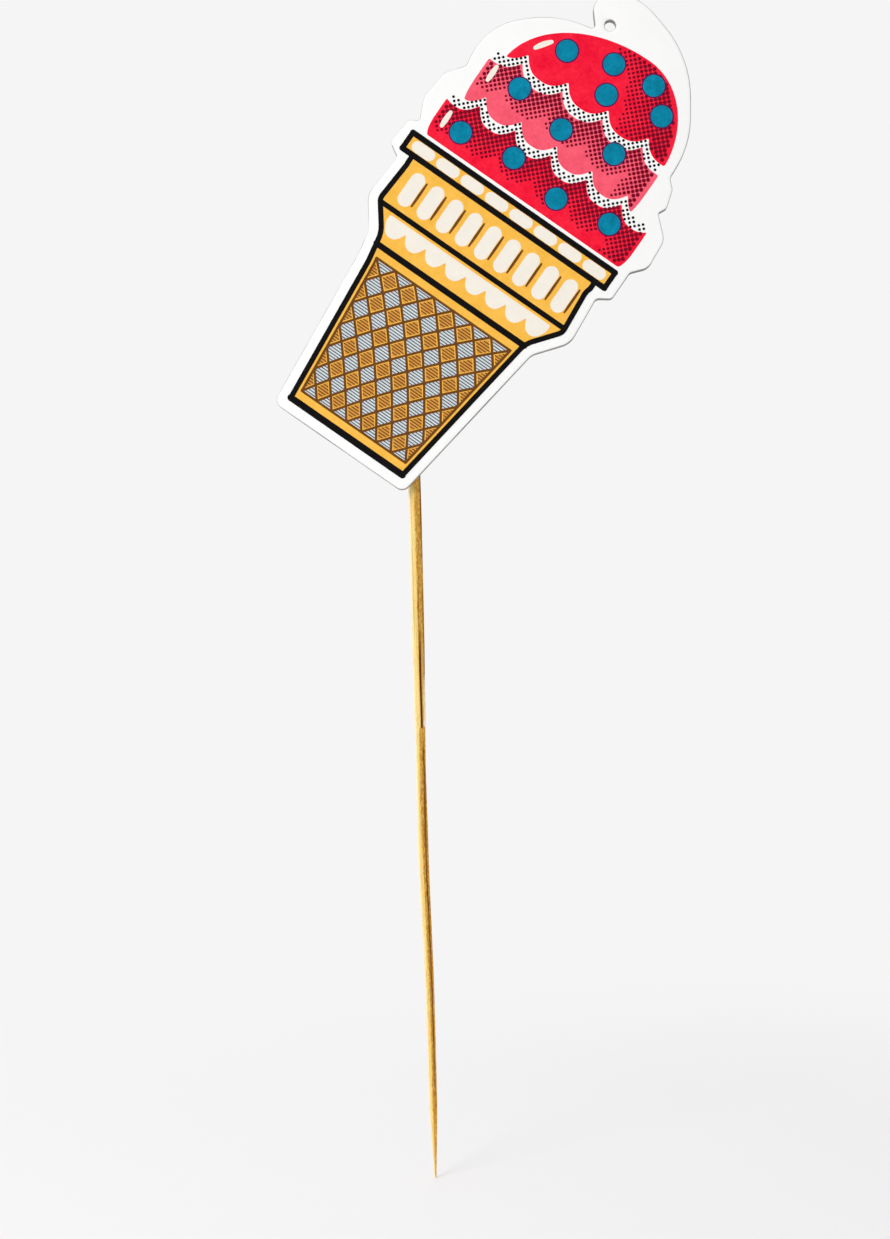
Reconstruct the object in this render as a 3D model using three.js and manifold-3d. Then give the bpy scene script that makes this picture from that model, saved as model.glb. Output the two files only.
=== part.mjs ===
// Cupcake pick: a die-cut board tag in the outline of an ice-cream cone, fixed aslant to a bamboo stick.
// Millimetres. +Z runs up the stick, the printed front faces -Y, and the origin is the stick's pointed tip.
import * as THREE from "three";
import { mergeVertices } from "three/addons/utils/BufferGeometryUtils.js";
import Module from "manifold-3d";

const wasm = await Module();
wasm.setup();

// Bamboo stick, from its tip up
const STICK_LENGTH = 150;
const STICK_WIDTH = 2.0; // behind the card, where it is a plain square bar
const STICK_DEPTH = 2.0;
const STICK_CORNER_RADIUS = 0.45;
const TIP_WIDTH = 0.3;
const POINT_LENGTH = 12;
const SHANK_WIDTH = 1.3; // just above the point
const CAKE_DEPTH = 30; // how far the stick is pushed into a cake
const CAKE_LINE_WIDTH = 1.45;
const SWELL_WIDTH = 1.72; // the thickest place below the neck
const SWELL_DROP = 12; // from the neck down to it
const NECK_HEIGHT = 67; // a thin place part of the way up, where the grain has split off
const NECK_WIDTH = 1.54;
const NECK_TAPER = 19; // from the neck up to the full width

// Card: three layers of paper and board, cut in one stroke
const FRONT_SHEET_THICKNESS = 0.25;
const CORE_THICKNESS = 1.1;
const BACKING_THICKNESS = 0.25;
const CARD_TILT = 36.5; // degrees from the stick, leaning to the right
const STICK_COVERED = 37.7; // length of stick behind the card
const STICK_ENTRY = 2.5; // the stick passes the cone's right edge this far above its foot

// Card outline: what each level of the silhouette rises above the one below, on its right side
const CONE_HEIGHT = 29.8;
const SHOULDER_RISE = 5.1;
const COLLAR_HEIGHT = 8.2;
const LIP_RISE = 1.4;
const RIM_HEIGHT = 5.1;
const LOWER_FLARE_RISE = 2.3;
const LOWER_TIER_HEIGHT = 5.1;
const WAIST_RISE = 3.0;
const MIDDLE_FLARE_RISE = 1.4;
const MIDDLE_TIER_HEIGHT = 3.0;
const NOTCH_RISE = 1.3;
const DOME_SIDE_HEIGHT = 6.2;
const DOME_CROWN_RISE = 11.65;
const DOME_TOP_RISE = 2.65;

// Left side: how far its corners lie above or below the same corners on the right
const LEFT_CONE_LIFT = 1.6;
const LEFT_COLLAR_LIFT = 1.1;
const LEFT_RIM_LIFT = 0.5;
const LEFT_NICK_LIFT = 0.75;
const LEFT_TIER_LIFT = 2.0;
const LEFT_NOTCH_DROP = 3.8;
const LEFT_DOME_DROP = 2.9;
const LEFT_CROWN_DROP = 6.45;
const CONE_BEND_DROP = 2.8; // the left edge of the cone bends this far below its top

// Card outline: reach to each side of the cone's middle line
const CONE_FOOT_RIGHT = 11.95;
const CONE_TOP_RIGHT = 16.3;
const COLLAR_RIGHT = 20.35;
const LIP_RIGHT = 19.65;
const RIM_RIGHT = 21.75;
const LOWER_TIER_RIGHT = 23.75;
const LOWER_TIER_TOP_RIGHT = 23.3;
const WAIST_RIGHT = 20.0;
const MIDDLE_TIER_RIGHT = 20.7;
const MIDDLE_TIER_TOP_RIGHT = 19.75;
const NOTCH_RIGHT = 18.35;
const DOME_RIGHT = 18.1;
const CROWN_RIGHT = 10.0;
const CONE_FOOT_LEFT = 13.3;
const CONE_BEND_LEFT = 15.75;
const CONE_TOP_LEFT = 16.55;
const COLLAR_LEFT = 20.0;
const LIP_LEFT = 19.5;
const RIM_LEFT = 21.75;
const RIM_TOP_LEFT = 21.4;
const NICK_LEFT = 19.85;
const LOWER_TIER_LEFT = 21.5;
const LOWER_TIER_TOP_LEFT = 21.0;
const NOTCH_LEFT = 18.75;
const DOME_LEFT = 19.9;
const CROWN_LEFT = 11.6;

// Card outline: how its corners are rounded
const FOOT_RADIUS = 1.5;
const SHOULDER_RADIUS = 3.0;
const COLLAR_RADIUS = 3.6;
const CRISP_RADIUS = 0.9;
const NICK_RADIUS = 0.5;
const TIER_RADIUS = 2.4;
const NOTCH_RADIUS = 1.3;
const DOME_RADIUS_RIGHT = 16.0;
const DOME_RADIUS_LEFT = 10.5;
const CROWN_RADIUS = 18.0;

// Hanging tab: a round lobe on the dome's left shoulder, with a punched hole
const TAB_LEFT = 8.15; // from the card's middle line to the tab's left side
const TAB_WIDTH = 8.25;
const TAB_HEIGHT = 7.8;
const TAB_SHOULDER_DROP = 4.2;
const TAB_SHOULDER_IN = 2.95;
const TAB_FOOT_IN = 3.15;
const TAB_RADIUS = 2.4;
const TAB_BLEND_RADIUS = 9.0; // where the tab's top runs on into the dome
const HOLE_RADIUS = 0.9;
const HOLE_LEFT = 3.45; // from the card's middle line to the hole's middle
const HOLE_DROP = 5.9; // from the tab's top to the hole's middle

// Glue dabs and tape strips along the covered stick, taking turns
const DAB_HALF_LENGTH = 3.0;
const DAB_HALF_WIDTH = 2.4;
const DAB_COVER = 0.8; // glue over the stick's back
const FIRST_DAB = 4.6; // from the card's edge up to the lowest dab's middle
const LAST_DAB_FROM_END = 3.6;
const TAPE_WIDTH = 7.8;
const TAPE_THICKNESS = 0.15;
const LOWER_TAPE_LENGTH = 14;
const UPPER_TAPE_LENGTH = 22;
const TAPE_TENT = 1.2; // the tape leaves the card this far beside the stick
const FIT_CLEARANCE = 0.05; // between the stick and what is moulded or laid over it

// Fineness of round stretches
const ARC_STEP = THREE.MathUtils.degToRad(7);
const HOLE_SEGMENTS = 24;
const DAB_SEGMENTS = 28;
const DAB_RINGS = 8;
const STICK_CORNER_STEPS = 3;

// Surface colours, with how rough each is
const finishes = {
  printedPaper: new THREE.MeshStandardMaterial({ color: 0xf7f5f1, roughness: 0.55, metalness: 0 }),
  board: new THREE.MeshStandardMaterial({ color: 0xd8d3c8, roughness: 0.9, metalness: 0 }),
  backingPaper: new THREE.MeshStandardMaterial({ color: 0xf0ede6, roughness: 0.8, metalness: 0 }),
  bamboo: new THREE.MeshStandardMaterial({ color: 0xc99a52, roughness: 0.65, metalness: 0 }),
  glue: new THREE.MeshStandardMaterial({ color: 0xe9dfc6, roughness: 0.25, metalness: 0 }),
  tape: new THREE.MeshStandardMaterial({ color: 0xe3cfa2, roughness: 0.85, metalness: 0 }),
};

// Levels of the silhouette above the card's base
const shoulderLevel = CONE_HEIGHT;
const collarLevel = shoulderLevel + SHOULDER_RISE;
const lipLevel = collarLevel + COLLAR_HEIGHT;
const rimLevel = lipLevel + LIP_RISE;
const rimTopLevel = rimLevel + RIM_HEIGHT;
const lowerTierLevel = rimTopLevel + LOWER_FLARE_RISE;
const lowerTierTopLevel = lowerTierLevel + LOWER_TIER_HEIGHT;
const waistLevel = lowerTierTopLevel + WAIST_RISE;
const middleTierLevel = waistLevel + MIDDLE_FLARE_RISE;
const middleTierTopLevel = middleTierLevel + MIDDLE_TIER_HEIGHT;
const notchLevel = middleTierTopLevel + NOTCH_RISE;
const domeSideLevel = notchLevel + DOME_SIDE_HEIGHT;
const crownLevel = domeSideLevel + DOME_CROWN_RISE;
const topLevel = crownLevel + DOME_TOP_RISE;

// Corners of the silhouette in turn, anticlockwise seen from the front: across, up, corner radius
const outlineCorners = [
  [CONE_FOOT_RIGHT, 0, FOOT_RADIUS],
  [CONE_TOP_RIGHT, shoulderLevel, SHOULDER_RADIUS],
  [COLLAR_RIGHT, collarLevel, COLLAR_RADIUS],
  [LIP_RIGHT, lipLevel, CRISP_RADIUS],
  [RIM_RIGHT, rimLevel, CRISP_RADIUS],
  [RIM_RIGHT, rimTopLevel, CRISP_RADIUS],
  [LOWER_TIER_RIGHT, lowerTierLevel, TIER_RADIUS],
  [LOWER_TIER_TOP_RIGHT, lowerTierTopLevel, TIER_RADIUS],
  [WAIST_RIGHT, waistLevel, NICK_RADIUS],
  [MIDDLE_TIER_RIGHT, middleTierLevel, CRISP_RADIUS],
  [MIDDLE_TIER_TOP_RIGHT, middleTierTopLevel, NOTCH_RADIUS],
  [NOTCH_RIGHT, notchLevel, NOTCH_RADIUS],
  [DOME_RIGHT, domeSideLevel, DOME_RADIUS_RIGHT],
  [CROWN_RIGHT, crownLevel, CROWN_RADIUS],
  [TAB_WIDTH - TAB_LEFT, topLevel, TAB_BLEND_RADIUS],
  [TAB_SHOULDER_IN - TAB_LEFT, topLevel, TAB_RADIUS],
  [-TAB_LEFT, topLevel - TAB_SHOULDER_DROP, TAB_RADIUS],
  [TAB_FOOT_IN - TAB_LEFT, topLevel - TAB_HEIGHT, NICK_RADIUS],
  [-CROWN_LEFT, crownLevel - LEFT_CROWN_DROP, CROWN_RADIUS],
  [-DOME_LEFT, domeSideLevel - LEFT_DOME_DROP, DOME_RADIUS_LEFT],
  [-NOTCH_LEFT, notchLevel - LEFT_NOTCH_DROP, NOTCH_RADIUS],
  [-LOWER_TIER_TOP_LEFT, lowerTierTopLevel + LEFT_TIER_LIFT, TIER_RADIUS],
  [-LOWER_TIER_LEFT, lowerTierLevel + LEFT_TIER_LIFT, TIER_RADIUS],
  [-NICK_LEFT, rimTopLevel + LEFT_NICK_LIFT, NICK_RADIUS],
  [-RIM_TOP_LEFT, rimTopLevel, CRISP_RADIUS],
  [-RIM_LEFT, rimLevel + LEFT_RIM_LIFT, CRISP_RADIUS],
  [-LIP_LEFT, lipLevel + LEFT_RIM_LIFT, NICK_RADIUS],
  [-COLLAR_LEFT, collarLevel + LEFT_COLLAR_LIFT, COLLAR_RADIUS],
  [-CONE_TOP_LEFT, shoulderLevel + LEFT_CONE_LIFT, SHOULDER_RADIUS],
  [-CONE_BEND_LEFT, shoulderLevel - CONE_BEND_DROP, SHOULDER_RADIUS],
  [-CONE_FOOT_LEFT, 0, FOOT_RADIUS],
];

// The arc that rounds the corner at `at`: its centre, start angle and end angle
function cornerArc(before, at, after, radius) {
  const toBefore = before.clone().sub(at).normalize();
  const toAfter = after.clone().sub(at).normalize();
  const halfAngle = Math.acos(THREE.MathUtils.clamp(toBefore.dot(toAfter), -1, 1)) / 2;
  const bisector = toBefore.clone().add(toAfter).normalize();
  const centre = at.clone().addScaledVector(bisector, radius / Math.sin(halfAngle));
  const tangent = radius / Math.tan(halfAngle);
  const start = at.clone().addScaledVector(toBefore, tangent).sub(centre).angle();
  const end = at.clone().addScaledVector(toAfter, tangent).sub(centre).angle();
  const turn = THREE.MathUtils.euclideanModulo(end - start + Math.PI, 2 * Math.PI) - Math.PI;
  return { centre, start, turn };
}

// A closed polygon whose corners are rounded, as points
function roundedPoints(corners) {
  const points = [];
  corners.forEach(([x, y, radius], i) => {
    const before = new THREE.Vector2(...corners.at(i - 1));
    const after = new THREE.Vector2(...corners[(i + 1) % corners.length]);
    const { centre, start, turn } = cornerArc(before, new THREE.Vector2(x, y), after, radius);
    const steps = Math.max(2, Math.ceil(Math.abs(turn) / ARC_STEP));
    for (let k = 0; k <= steps; k++) {
      const angle = start + (turn * k) / steps;
      points.push(new THREE.Vector2(Math.cos(angle), Math.sin(angle)).multiplyScalar(radius).add(centre));
    }
  });
  return points;
}

// The card's face with its punched hole
function cardShape() {
  const shape = new THREE.Shape(roundedPoints(outlineCorners));
  const hole = new THREE.Path();
  hole.absarc(-HOLE_LEFT, topLevel - HOLE_DROP, HOLE_RADIUS, 0, 2 * Math.PI, true);
  shape.holes.push(new THREE.Path(hole.getSpacedPoints(HOLE_SEGMENTS).slice(0, HOLE_SEGMENTS)));
  return shape;
}

// One layer of the card, standing up, with its front at -Y and its back `behind` mm before the card's back
function cardLayer(name, material, thickness, behind) {
  const geometry = new THREE.ExtrudeGeometry(cardShape(), { depth: thickness, bevelEnabled: false });
  geometry.rotateX(Math.PI / 2);
  const layer = new THREE.Mesh(geometry, material);
  layer.name = name;
  layer.position.y = -behind;
  return layer;
}

// The section of the stick at one height: a square with rounded corners, anticlockwise seen from above
function stickSection(width, depth, z) {
  const radius = (STICK_CORNER_RADIUS * width) / STICK_WIDTH;
  const ring = [];
  for (let corner = 0; corner < 4; corner++) {
    const middle = (corner + 0.5) * (Math.PI / 2);
    const centreX = Math.sign(Math.cos(middle)) * (width / 2 - radius);
    const centreY = Math.sign(Math.sin(middle)) * (depth / 2 - radius);
    for (let k = 0; k <= STICK_CORNER_STEPS; k++) {
      const angle = (corner + k / STICK_CORNER_STEPS) * (Math.PI / 2);
      ring.push([centreX + radius * Math.cos(angle), centreY + radius * Math.sin(angle), z]);
    }
  }
  return ring;
}

// A closed solid through rings of equal length, lowest first, with flat ends
function loft(rings) {
  const sides = rings[0].length;
  const positions = rings.flat();
  const faces = [];
  for (let r = 0; r + 1 < rings.length; r++) {
    for (let s = 0; s < sides; s++) {
      const a = r * sides + s;
      const b = r * sides + ((s + 1) % sides);
      faces.push([a, b, b + sides], [a, b + sides, a + sides]);
    }
  }
  const top = (rings.length - 1) * sides;
  for (let s = 1; s + 1 < sides; s++) {
    faces.push([0, s + 1, s], [top, top + s, top + s + 1]);
  }
  const geometry = new THREE.BufferGeometry();
  geometry.setAttribute("position", new THREE.Float32BufferAttribute(positions.flat(), 3));
  geometry.setIndex(faces.flat());
  geometry.computeVertexNormals();
  return geometry;
}

function bambooStick() {
  const stations = [
    [0, TIP_WIDTH],
    [POINT_LENGTH * 0.6, SHANK_WIDTH * 0.75],
    [POINT_LENGTH, SHANK_WIDTH],
    [CAKE_DEPTH, CAKE_LINE_WIDTH],
    [NECK_HEIGHT - SWELL_DROP, SWELL_WIDTH],
    [NECK_HEIGHT, NECK_WIDTH],
    [NECK_HEIGHT + NECK_TAPER, STICK_WIDTH],
    [STICK_LENGTH, STICK_WIDTH],
  ];
  const depthRatio = STICK_DEPTH / STICK_WIDTH;
  const stick = new THREE.Mesh(
    loft(stations.map(([z, width]) => stickSection(width, width * depthRatio, z))),
    finishes.bamboo,
  );
  stick.name = "bamboo_stick";
  return stick;
}

// A geometry as a solid that can be joined and cut
function toSolid(geometry) {
  const bare = geometry.clone();
  bare.deleteAttribute("normal");
  bare.deleteAttribute("uv");
  const merged = mergeVertices(bare);
  const mesh = new wasm.Mesh({
    numProp: 3,
    vertProperties: merged.attributes.position.array,
    triVerts: new Uint32Array(merged.index.array),
  });
  return new wasm.Manifold(mesh);
}

function fromSolid(solid) {
  const mesh = solid.getMesh();
  const geometry = new THREE.BufferGeometry();
  geometry.setAttribute("position", new THREE.BufferAttribute(mesh.vertProperties, 3));
  geometry.setIndex(new THREE.BufferAttribute(mesh.triVerts, 1));
  geometry.computeVertexNormals();
  return geometry;
}

// A dome of glue standing on the card's back, at y = 0, with a channel for the stick through it
function dabGeometry() {
  const domeHeight = STICK_DEPTH + DAB_COVER;
  const profile = [new THREE.Vector2(0, 0)];
  for (let k = 0; k < DAB_RINGS; k++) {
    const angle = (k / DAB_RINGS) * (Math.PI / 2);
    profile.push(new THREE.Vector2(DAB_HALF_LENGTH * Math.cos(angle), domeHeight * Math.sin(angle)));
  }
  profile.push(new THREE.Vector2(0, domeHeight));
  const dome = new THREE.LatheGeometry(profile, DAB_SEGMENTS);
  dome.scale(DAB_HALF_WIDTH / DAB_HALF_LENGTH, 1, 1);
  const channelDepth = STICK_DEPTH + FIT_CLEARANCE;
  const overshoot = 1;
  const channel = new THREE.BoxGeometry(
    STICK_WIDTH + 2 * FIT_CLEARANCE,
    channelDepth + overshoot,
    2 * (DAB_HALF_LENGTH + overshoot),
  );
  channel.translate(0, (channelDepth - overshoot) / 2, 0);
  return fromSolid(toSolid(dome).subtract(toSolid(channel)));
}

// A line moved sideways to its left by `distance`, with its bends kept sharp
function offsetLine(points, distance) {
  return points.map((point, i) => {
    const ends = [points.slice(i - 1, i + 1), points.slice(i, i + 2)].filter((pair) => pair.length === 2);
    const sum = new THREE.Vector2();
    for (const [from, to] of ends) {
      const along = to.clone().sub(from).normalize();
      sum.add(new THREE.Vector2(-along.y, along.x));
    }
    return point.clone().addScaledVector(sum, (distance * ends.length) / sum.lengthSq());
  });
}

// A strip of tape across the stick: flat on the card at both ends, drawn over the stick between
function tapeGeometry(length) {
  const end = length / 2;
  const foot = STICK_WIDTH / 2 + TAPE_TENT;
  const crest = STICK_WIDTH / 2 - STICK_CORNER_RADIUS / 3;
  const cover = STICK_DEPTH + FIT_CLEARANCE;
  const underside = [
    [-end, 0],
    [-foot, 0],
    [-crest, cover],
    [crest, cover],
    [foot, 0],
    [end, 0],
  ].map(([x, y]) => new THREE.Vector2(x, y));
  const topside = offsetLine(underside, TAPE_THICKNESS);
  const geometry = new THREE.ExtrudeGeometry(new THREE.Shape([...underside, ...topside.reverse()]), {
    depth: TAPE_WIDTH,
    bevelEnabled: false,
  });
  geometry.translate(0, 0, -TAPE_WIDTH / 2);
  return geometry;
}

// A piece laid on the card's back over the stick, `rise` mm above where the stick passes the card's edge
function onBack(name, geometry, material, rise) {
  const piece = new THREE.Mesh(geometry, material);
  piece.name = name;
  piece.position.set(0, -STICK_DEPTH / 2, STICK_LENGTH - STICK_COVERED + rise);
  return piece;
}

// The card, turned about the stick's normal and hung where the stick passes its edge
function card() {
  const group = new THREE.Group();
  group.add(
    cardLayer("backing_sheet", finishes.backingPaper, BACKING_THICKNESS, 0),
    cardLayer("core_board", finishes.board, CORE_THICKNESS, BACKING_THICKNESS),
    cardLayer(
      "front_print_sheet",
      finishes.printedPaper,
      FRONT_SHEET_THICKNESS,
      BACKING_THICKNESS + CORE_THICKNESS,
    ),
  );
  const tilt = THREE.MathUtils.degToRad(CARD_TILT);
  const flare = (CONE_TOP_RIGHT - CONE_FOOT_RIGHT) / CONE_HEIGHT;
  const entry = new THREE.Vector3(CONE_FOOT_RIGHT + flare * STICK_ENTRY, 0, STICK_ENTRY);
  entry.applyAxisAngle(new THREE.Vector3(0, 1, 0), tilt);
  group.rotation.y = tilt;
  group.position.set(-entry.x, -STICK_DEPTH / 2, STICK_LENGTH - STICK_COVERED - entry.z);
  return group;
}

const pick = new THREE.Group();
const pitch = (STICK_COVERED - FIRST_DAB - LAST_DAB_FROM_END) / 4;
pick.add(bambooStick(), card());
["lower", "middle", "upper"].forEach((place, i) => {
  pick.add(onBack(`glue_dab_${place}`, dabGeometry(), finishes.glue, FIRST_DAB + 2 * i * pitch));
});
[LOWER_TAPE_LENGTH, UPPER_TAPE_LENGTH].forEach((length, i) => {
  const name = `tape_strip_${i ? "upper" : "lower"}`;
  pick.add(onBack(name, tapeGeometry(length), finishes.tape, FIRST_DAB + (2 * i + 1) * pitch));
});

export default pick;
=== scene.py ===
"""A cupcake pick: a die-cut board tag in the outline of an ice-cream cone, fixed aslant to a bamboo stick.

Lengths are in metres in the model's own frame, with +Z up the stick and the printed front facing -Y. On the
card, u runs across the cone from its middle line and v runs up the cone from its foot.
"""

import math

import bmesh
import bpy
import numpy as np
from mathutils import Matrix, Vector
from mathutils.geometry import tessellate_polygon


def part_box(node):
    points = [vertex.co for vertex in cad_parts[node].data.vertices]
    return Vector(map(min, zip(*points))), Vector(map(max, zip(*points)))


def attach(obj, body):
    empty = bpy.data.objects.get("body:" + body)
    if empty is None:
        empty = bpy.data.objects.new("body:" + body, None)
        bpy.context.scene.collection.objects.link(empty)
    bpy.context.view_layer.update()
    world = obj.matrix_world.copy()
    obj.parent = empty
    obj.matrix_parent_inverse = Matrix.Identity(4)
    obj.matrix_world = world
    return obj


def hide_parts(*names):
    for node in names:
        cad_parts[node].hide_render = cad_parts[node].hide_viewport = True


MM = 0.001

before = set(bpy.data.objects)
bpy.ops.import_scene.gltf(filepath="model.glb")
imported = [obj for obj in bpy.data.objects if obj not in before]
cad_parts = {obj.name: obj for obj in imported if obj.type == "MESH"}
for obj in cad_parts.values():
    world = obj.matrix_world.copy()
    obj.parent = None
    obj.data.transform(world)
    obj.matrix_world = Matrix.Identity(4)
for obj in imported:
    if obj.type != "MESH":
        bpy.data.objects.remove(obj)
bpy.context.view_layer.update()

# Camera and stage
PHOTO_HEIGHT = 1239  # pixels
FOCAL_PIXELS = 1900
SENSOR_HEIGHT = 36.0  # millimetres, along the picture's longer side
CAMERA_PLACE = (4.27 * MM, -306.6 * MM, 89.98 * MM)
CAMERA_ROLL = math.radians(1.74)
BACKGROUND = (246, 245, 246)
FLOOR_SHADE = 0.955
FLOOR_RADIUS = 250 * MM
FLOOR_CLEAR_FROM = 60 * MM  # the floor's own shade fades out into the background from here
FLOOR_CLEAR_TO = 190 * MM
WORLD_BRIGHTEST = (-0.62, -0.25, 0.74)
WORLD_LOW = 0.1
WORLD_HIGH = 1.0
LAMP_TARGET = (0.012, 0.0, 0.12)
# Soft boxes: place, target, size and power
LAMPS = {
    "key": ((-0.42, -0.5, 0.42), LAMP_TARGET, 0.35, 2.3),
    "low": ((-0.5, -0.16, 0.05), LAMP_TARGET, 0.2, 0.35),
    "back": ((-0.05, 0.55, 0.1), (0.012, 0.0, 0.16), 0.3, 1.0),
}

# Card
CARD_TILT = math.radians(36.5)
HOLE_LEFT = 3.45 * MM  # the hole's middle lies this far left of the cone's middle line
OUTLINE_SPACING = 0.3 * MM
FACE_DROP = 0.05 * MM  # the bare paper lies this far behind the highest ink
PRESSED_EDGE = 0.18 * MM  # the die rounds the front edge over this much
TORN = 0.016 * MM  # how far the board's cut wall wanders in and out
HOLE_GREY_AND_SHADE = 0.8  # how grey the punched hole's wall is beside the die-cut edge, partly painted shade
ABOVE_CARD = 100 * MM  # a level that lies over the whole card
SEARCH_STEPS = 6000  # on the way to the place where a side meets an edge
LIMIT_LEVELS = 700

# How high each ink stands over the bare paper
GROUND_INK = 0.014 * MM
SECOND_INK = 0.022 * MM
DOT_INK = 0.031 * MM
TRAP_INK = 0.036 * MM
THIRD_INK = 0.04 * MM
KEYLINE_INK = 0.047 * MM
INK_STEP = 0.001 * MM  # lines that cross lie a few of these apart
INK_ROOT = 0.01 * MM  # how far a film reaches down into the paper
INK_SPREAD = 0.22 * MM  # how far the corners of an inked area are rounded
PRINT_MARGIN = 2.0 * MM

# Inks, papers and woods, as screen colours
RED = (247, 2, 50)
PINK = (247, 84, 108)
TEAL = (0, 135, 168)
VIOLET = (70, 18, 84)
GOLD = (247, 186, 68)
AMBER = (214, 148, 62)
CREAM = (241, 234, 222)
BROWN = (112, 68, 26)
UMBER = (62, 40, 26)
SLATE = (208, 219, 224)
MAROON = (122, 2, 34)
BLACK = (8, 6, 8)
PAPER = (247, 247, 246)
# the cut paper's own grey, made darker as painted shade so that the card's edge reads as a line
CUT_EDGE_AND_SHADE = (104, 100, 94)
BOARD = (158, 153, 144)
PUNCHED_BOARD = (222, 220, 214)
BACKING = (241, 238, 230)
STRAW = (226, 196, 116)
STRAW_PALE = (238, 215, 150)
HONEY = (244, 190, 92)
HONEY_DEEP = (216, 154, 60)
PITH = (243, 224, 178)
# dark fibres and outer skin, also painted shade in the stick's split and down its right edge
BARK_AND_SHADE = (112, 44, 0)
GLUE = (240, 229, 200)
TAPE = (232, 212, 168)


# Shapes


def blurred(values, spread):
    """Values on a grid that wraps round, blurred by a Gaussian `spread` samples wide along each axis."""
    waves = np.meshgrid(*[np.fft.fftfreq(n) for n in values.shape], indexing="ij")
    blur = np.exp(-2 * sum((math.pi * s * w) ** 2 for s, w in zip(spread, waves)))
    return np.fft.ifftn(np.fft.fftn(values) * blur).real


def smooth_noise(shape, spread, seed):
    """Random heights of mean 0 and spread 1: blurred white noise."""
    field = blurred(np.random.default_rng(seed).normal(size=shape), spread)
    return (field - field.mean()) / field.std()


def smooth_step(low, high, x):
    """0 below `low`, 1 above `high` and 3t^2 - 2t^3 between."""
    t = np.clip((x - low) / (high - low), 0, 1)
    return t * t * (3 - 2 * t)


def band(x, start, full, waning, end):
    """0 up to `start`, 1 from `full` to `waning` and 0 from `end` on, with smooth steps between."""
    return smooth_step(start, full, x) * (1 - smooth_step(waning, end, x))


def grid_faces(rows, columns, wrap=False):
    """The four corners of each cell of a grid of points, in the order along a row and then up."""
    last = columns if wrap else columns - 1
    row, column = np.meshgrid(np.arange(rows - 1), np.arange(last), indexing="ij")
    a = row * columns + column
    b = row * columns + (column + 1) % columns
    return np.stack([a, b, b + columns, a + columns], axis=-1).reshape(-1, 4)


def slab(front, back):
    """A closed slab between two grids of points: both faces and a wall round their border."""
    rows, columns = front.shape[:2]
    size = rows * columns
    cells = grid_faces(rows, columns)
    order = np.arange(size).reshape(rows, columns)
    border = np.concatenate([order[0, :-1], order[:-1, -1], order[-1, :0:-1], order[:0:-1, 0]])
    after = np.roll(border, -1)
    wall = np.stack([border, border + size, after + size, after], axis=-1)
    points = np.concatenate([front.reshape(-1, 3), back.reshape(-1, 3)])
    return points, np.concatenate([cells, cells[:, ::-1] + size, wall])


def unit(vectors):
    """Vectors scaled to length 1."""
    return vectors / np.maximum(np.linalg.norm(vectors, axis=-1, keepdims=True), 1e-12)


def left_of(directions):
    """Unit vectors a quarter turn to the left of directions on the card."""
    ahead = unit(directions)
    return np.stack([-ahead[..., 1], ahead[..., 0]], axis=-1)


def distances(path):
    """How far along a path each of its points lies."""
    return np.concatenate([[0], np.cumsum(np.linalg.norm(np.diff(path, axis=0), axis=1))])


def resampled(path, places):
    """The points of a path on the card at given distances along it."""
    along = distances(path)
    return np.stack([np.interp(places, along, path[:, k]) for k in range(2)], axis=-1)


def around(sides):
    """Even angles all the way round, as one row."""
    return np.linspace(0, 2 * math.pi, sides, endpoint=False)[None, :]


def put(name, data):
    """A new object in the scene."""
    thing = bpy.data.objects.new(name, data)
    bpy.context.scene.collection.objects.link(thing)
    return thing


def piece(name, shape, material, replaced=(), attributes=None, smooth=None):
    """A mesh object of the pick from its points and faces. Doubled points are merged, which closes seams and
    poles. Edges sharper than `smooth` degrees stay sharp."""
    points, faces = shape
    mesh = bpy.data.meshes.new(name)
    mesh.from_pydata(np.asarray(points, float).tolist(), [], [list(map(int, f)) for f in faces])
    for key, values in (attributes or {}).items():
        layer = mesh.attributes.new(key, "FLOAT", "POINT")
        layer.data.foreach_set("value", values.astype(np.float32).ravel())
    work = bmesh.new()
    work.from_mesh(mesh)
    bmesh.ops.remove_doubles(work, verts=work.verts, dist=1e-7)
    bmesh.ops.dissolve_degenerate(work, edges=work.edges, dist=1e-8)
    work.to_mesh(mesh)
    work.free()
    mesh.materials.append(material)
    if smooth is not None:
        mesh.shade_smooth()
        mesh.set_sharp_from_angle(angle=math.radians(smooth))
    thing = put(name, mesh)
    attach(thing, "root")
    if replaced:
        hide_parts(*replaced)


# Card frame


def front_loops(node):
    """The closed loops round the front face of a flat CAD node as lists of (x, z), longest first, each with
    the material on its left seen from the front."""
    work = bmesh.new()
    work.from_mesh(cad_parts[node].data)
    bmesh.ops.remove_doubles(work, verts=work.verts, dist=1e-6)
    follow = {}
    for face in work.faces:
        if face.normal.y > -0.9:
            continue
        for loop in face.loops:
            if any(other.normal.y > -0.9 for other in loop.edge.link_faces):
                follow[loop.vert] = loop.link_loop_next.vert
    loops = []
    while follow:
        vert = next(iter(follow))
        line = []
        while vert in follow:
            line.append((vert.co.x, vert.co.z))
            vert = follow.pop(vert)
        loops.append(np.array(line))
    work.free()
    return sorted(loops, key=len, reverse=True)


ACROSS = np.array([math.cos(CARD_TILT), -math.sin(CARD_TILT)])
UP_CARD = np.array([math.sin(CARD_TILT), math.cos(CARD_TILT)])
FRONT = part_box("front_print_sheet")[0].y
FACE = FRONT + FACE_DROP
CORE_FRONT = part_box("core_board")[0].y
CORE_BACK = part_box("core_board")[1].y
CARD_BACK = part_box("backing_sheet")[1].y


def card_base(outline, hole):
    """Where u and v are 0: the foot is the outline's lowest line, and the hole gives the middle line."""
    middle = (hole @ ACROSS).mean() + HOLE_LEFT
    return middle * ACROSS + (outline @ UP_CARD).min() * UP_CARD


raw_outline, raw_hole = front_loops("front_print_sheet")
BASE = card_base(raw_outline, raw_hole)


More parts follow.
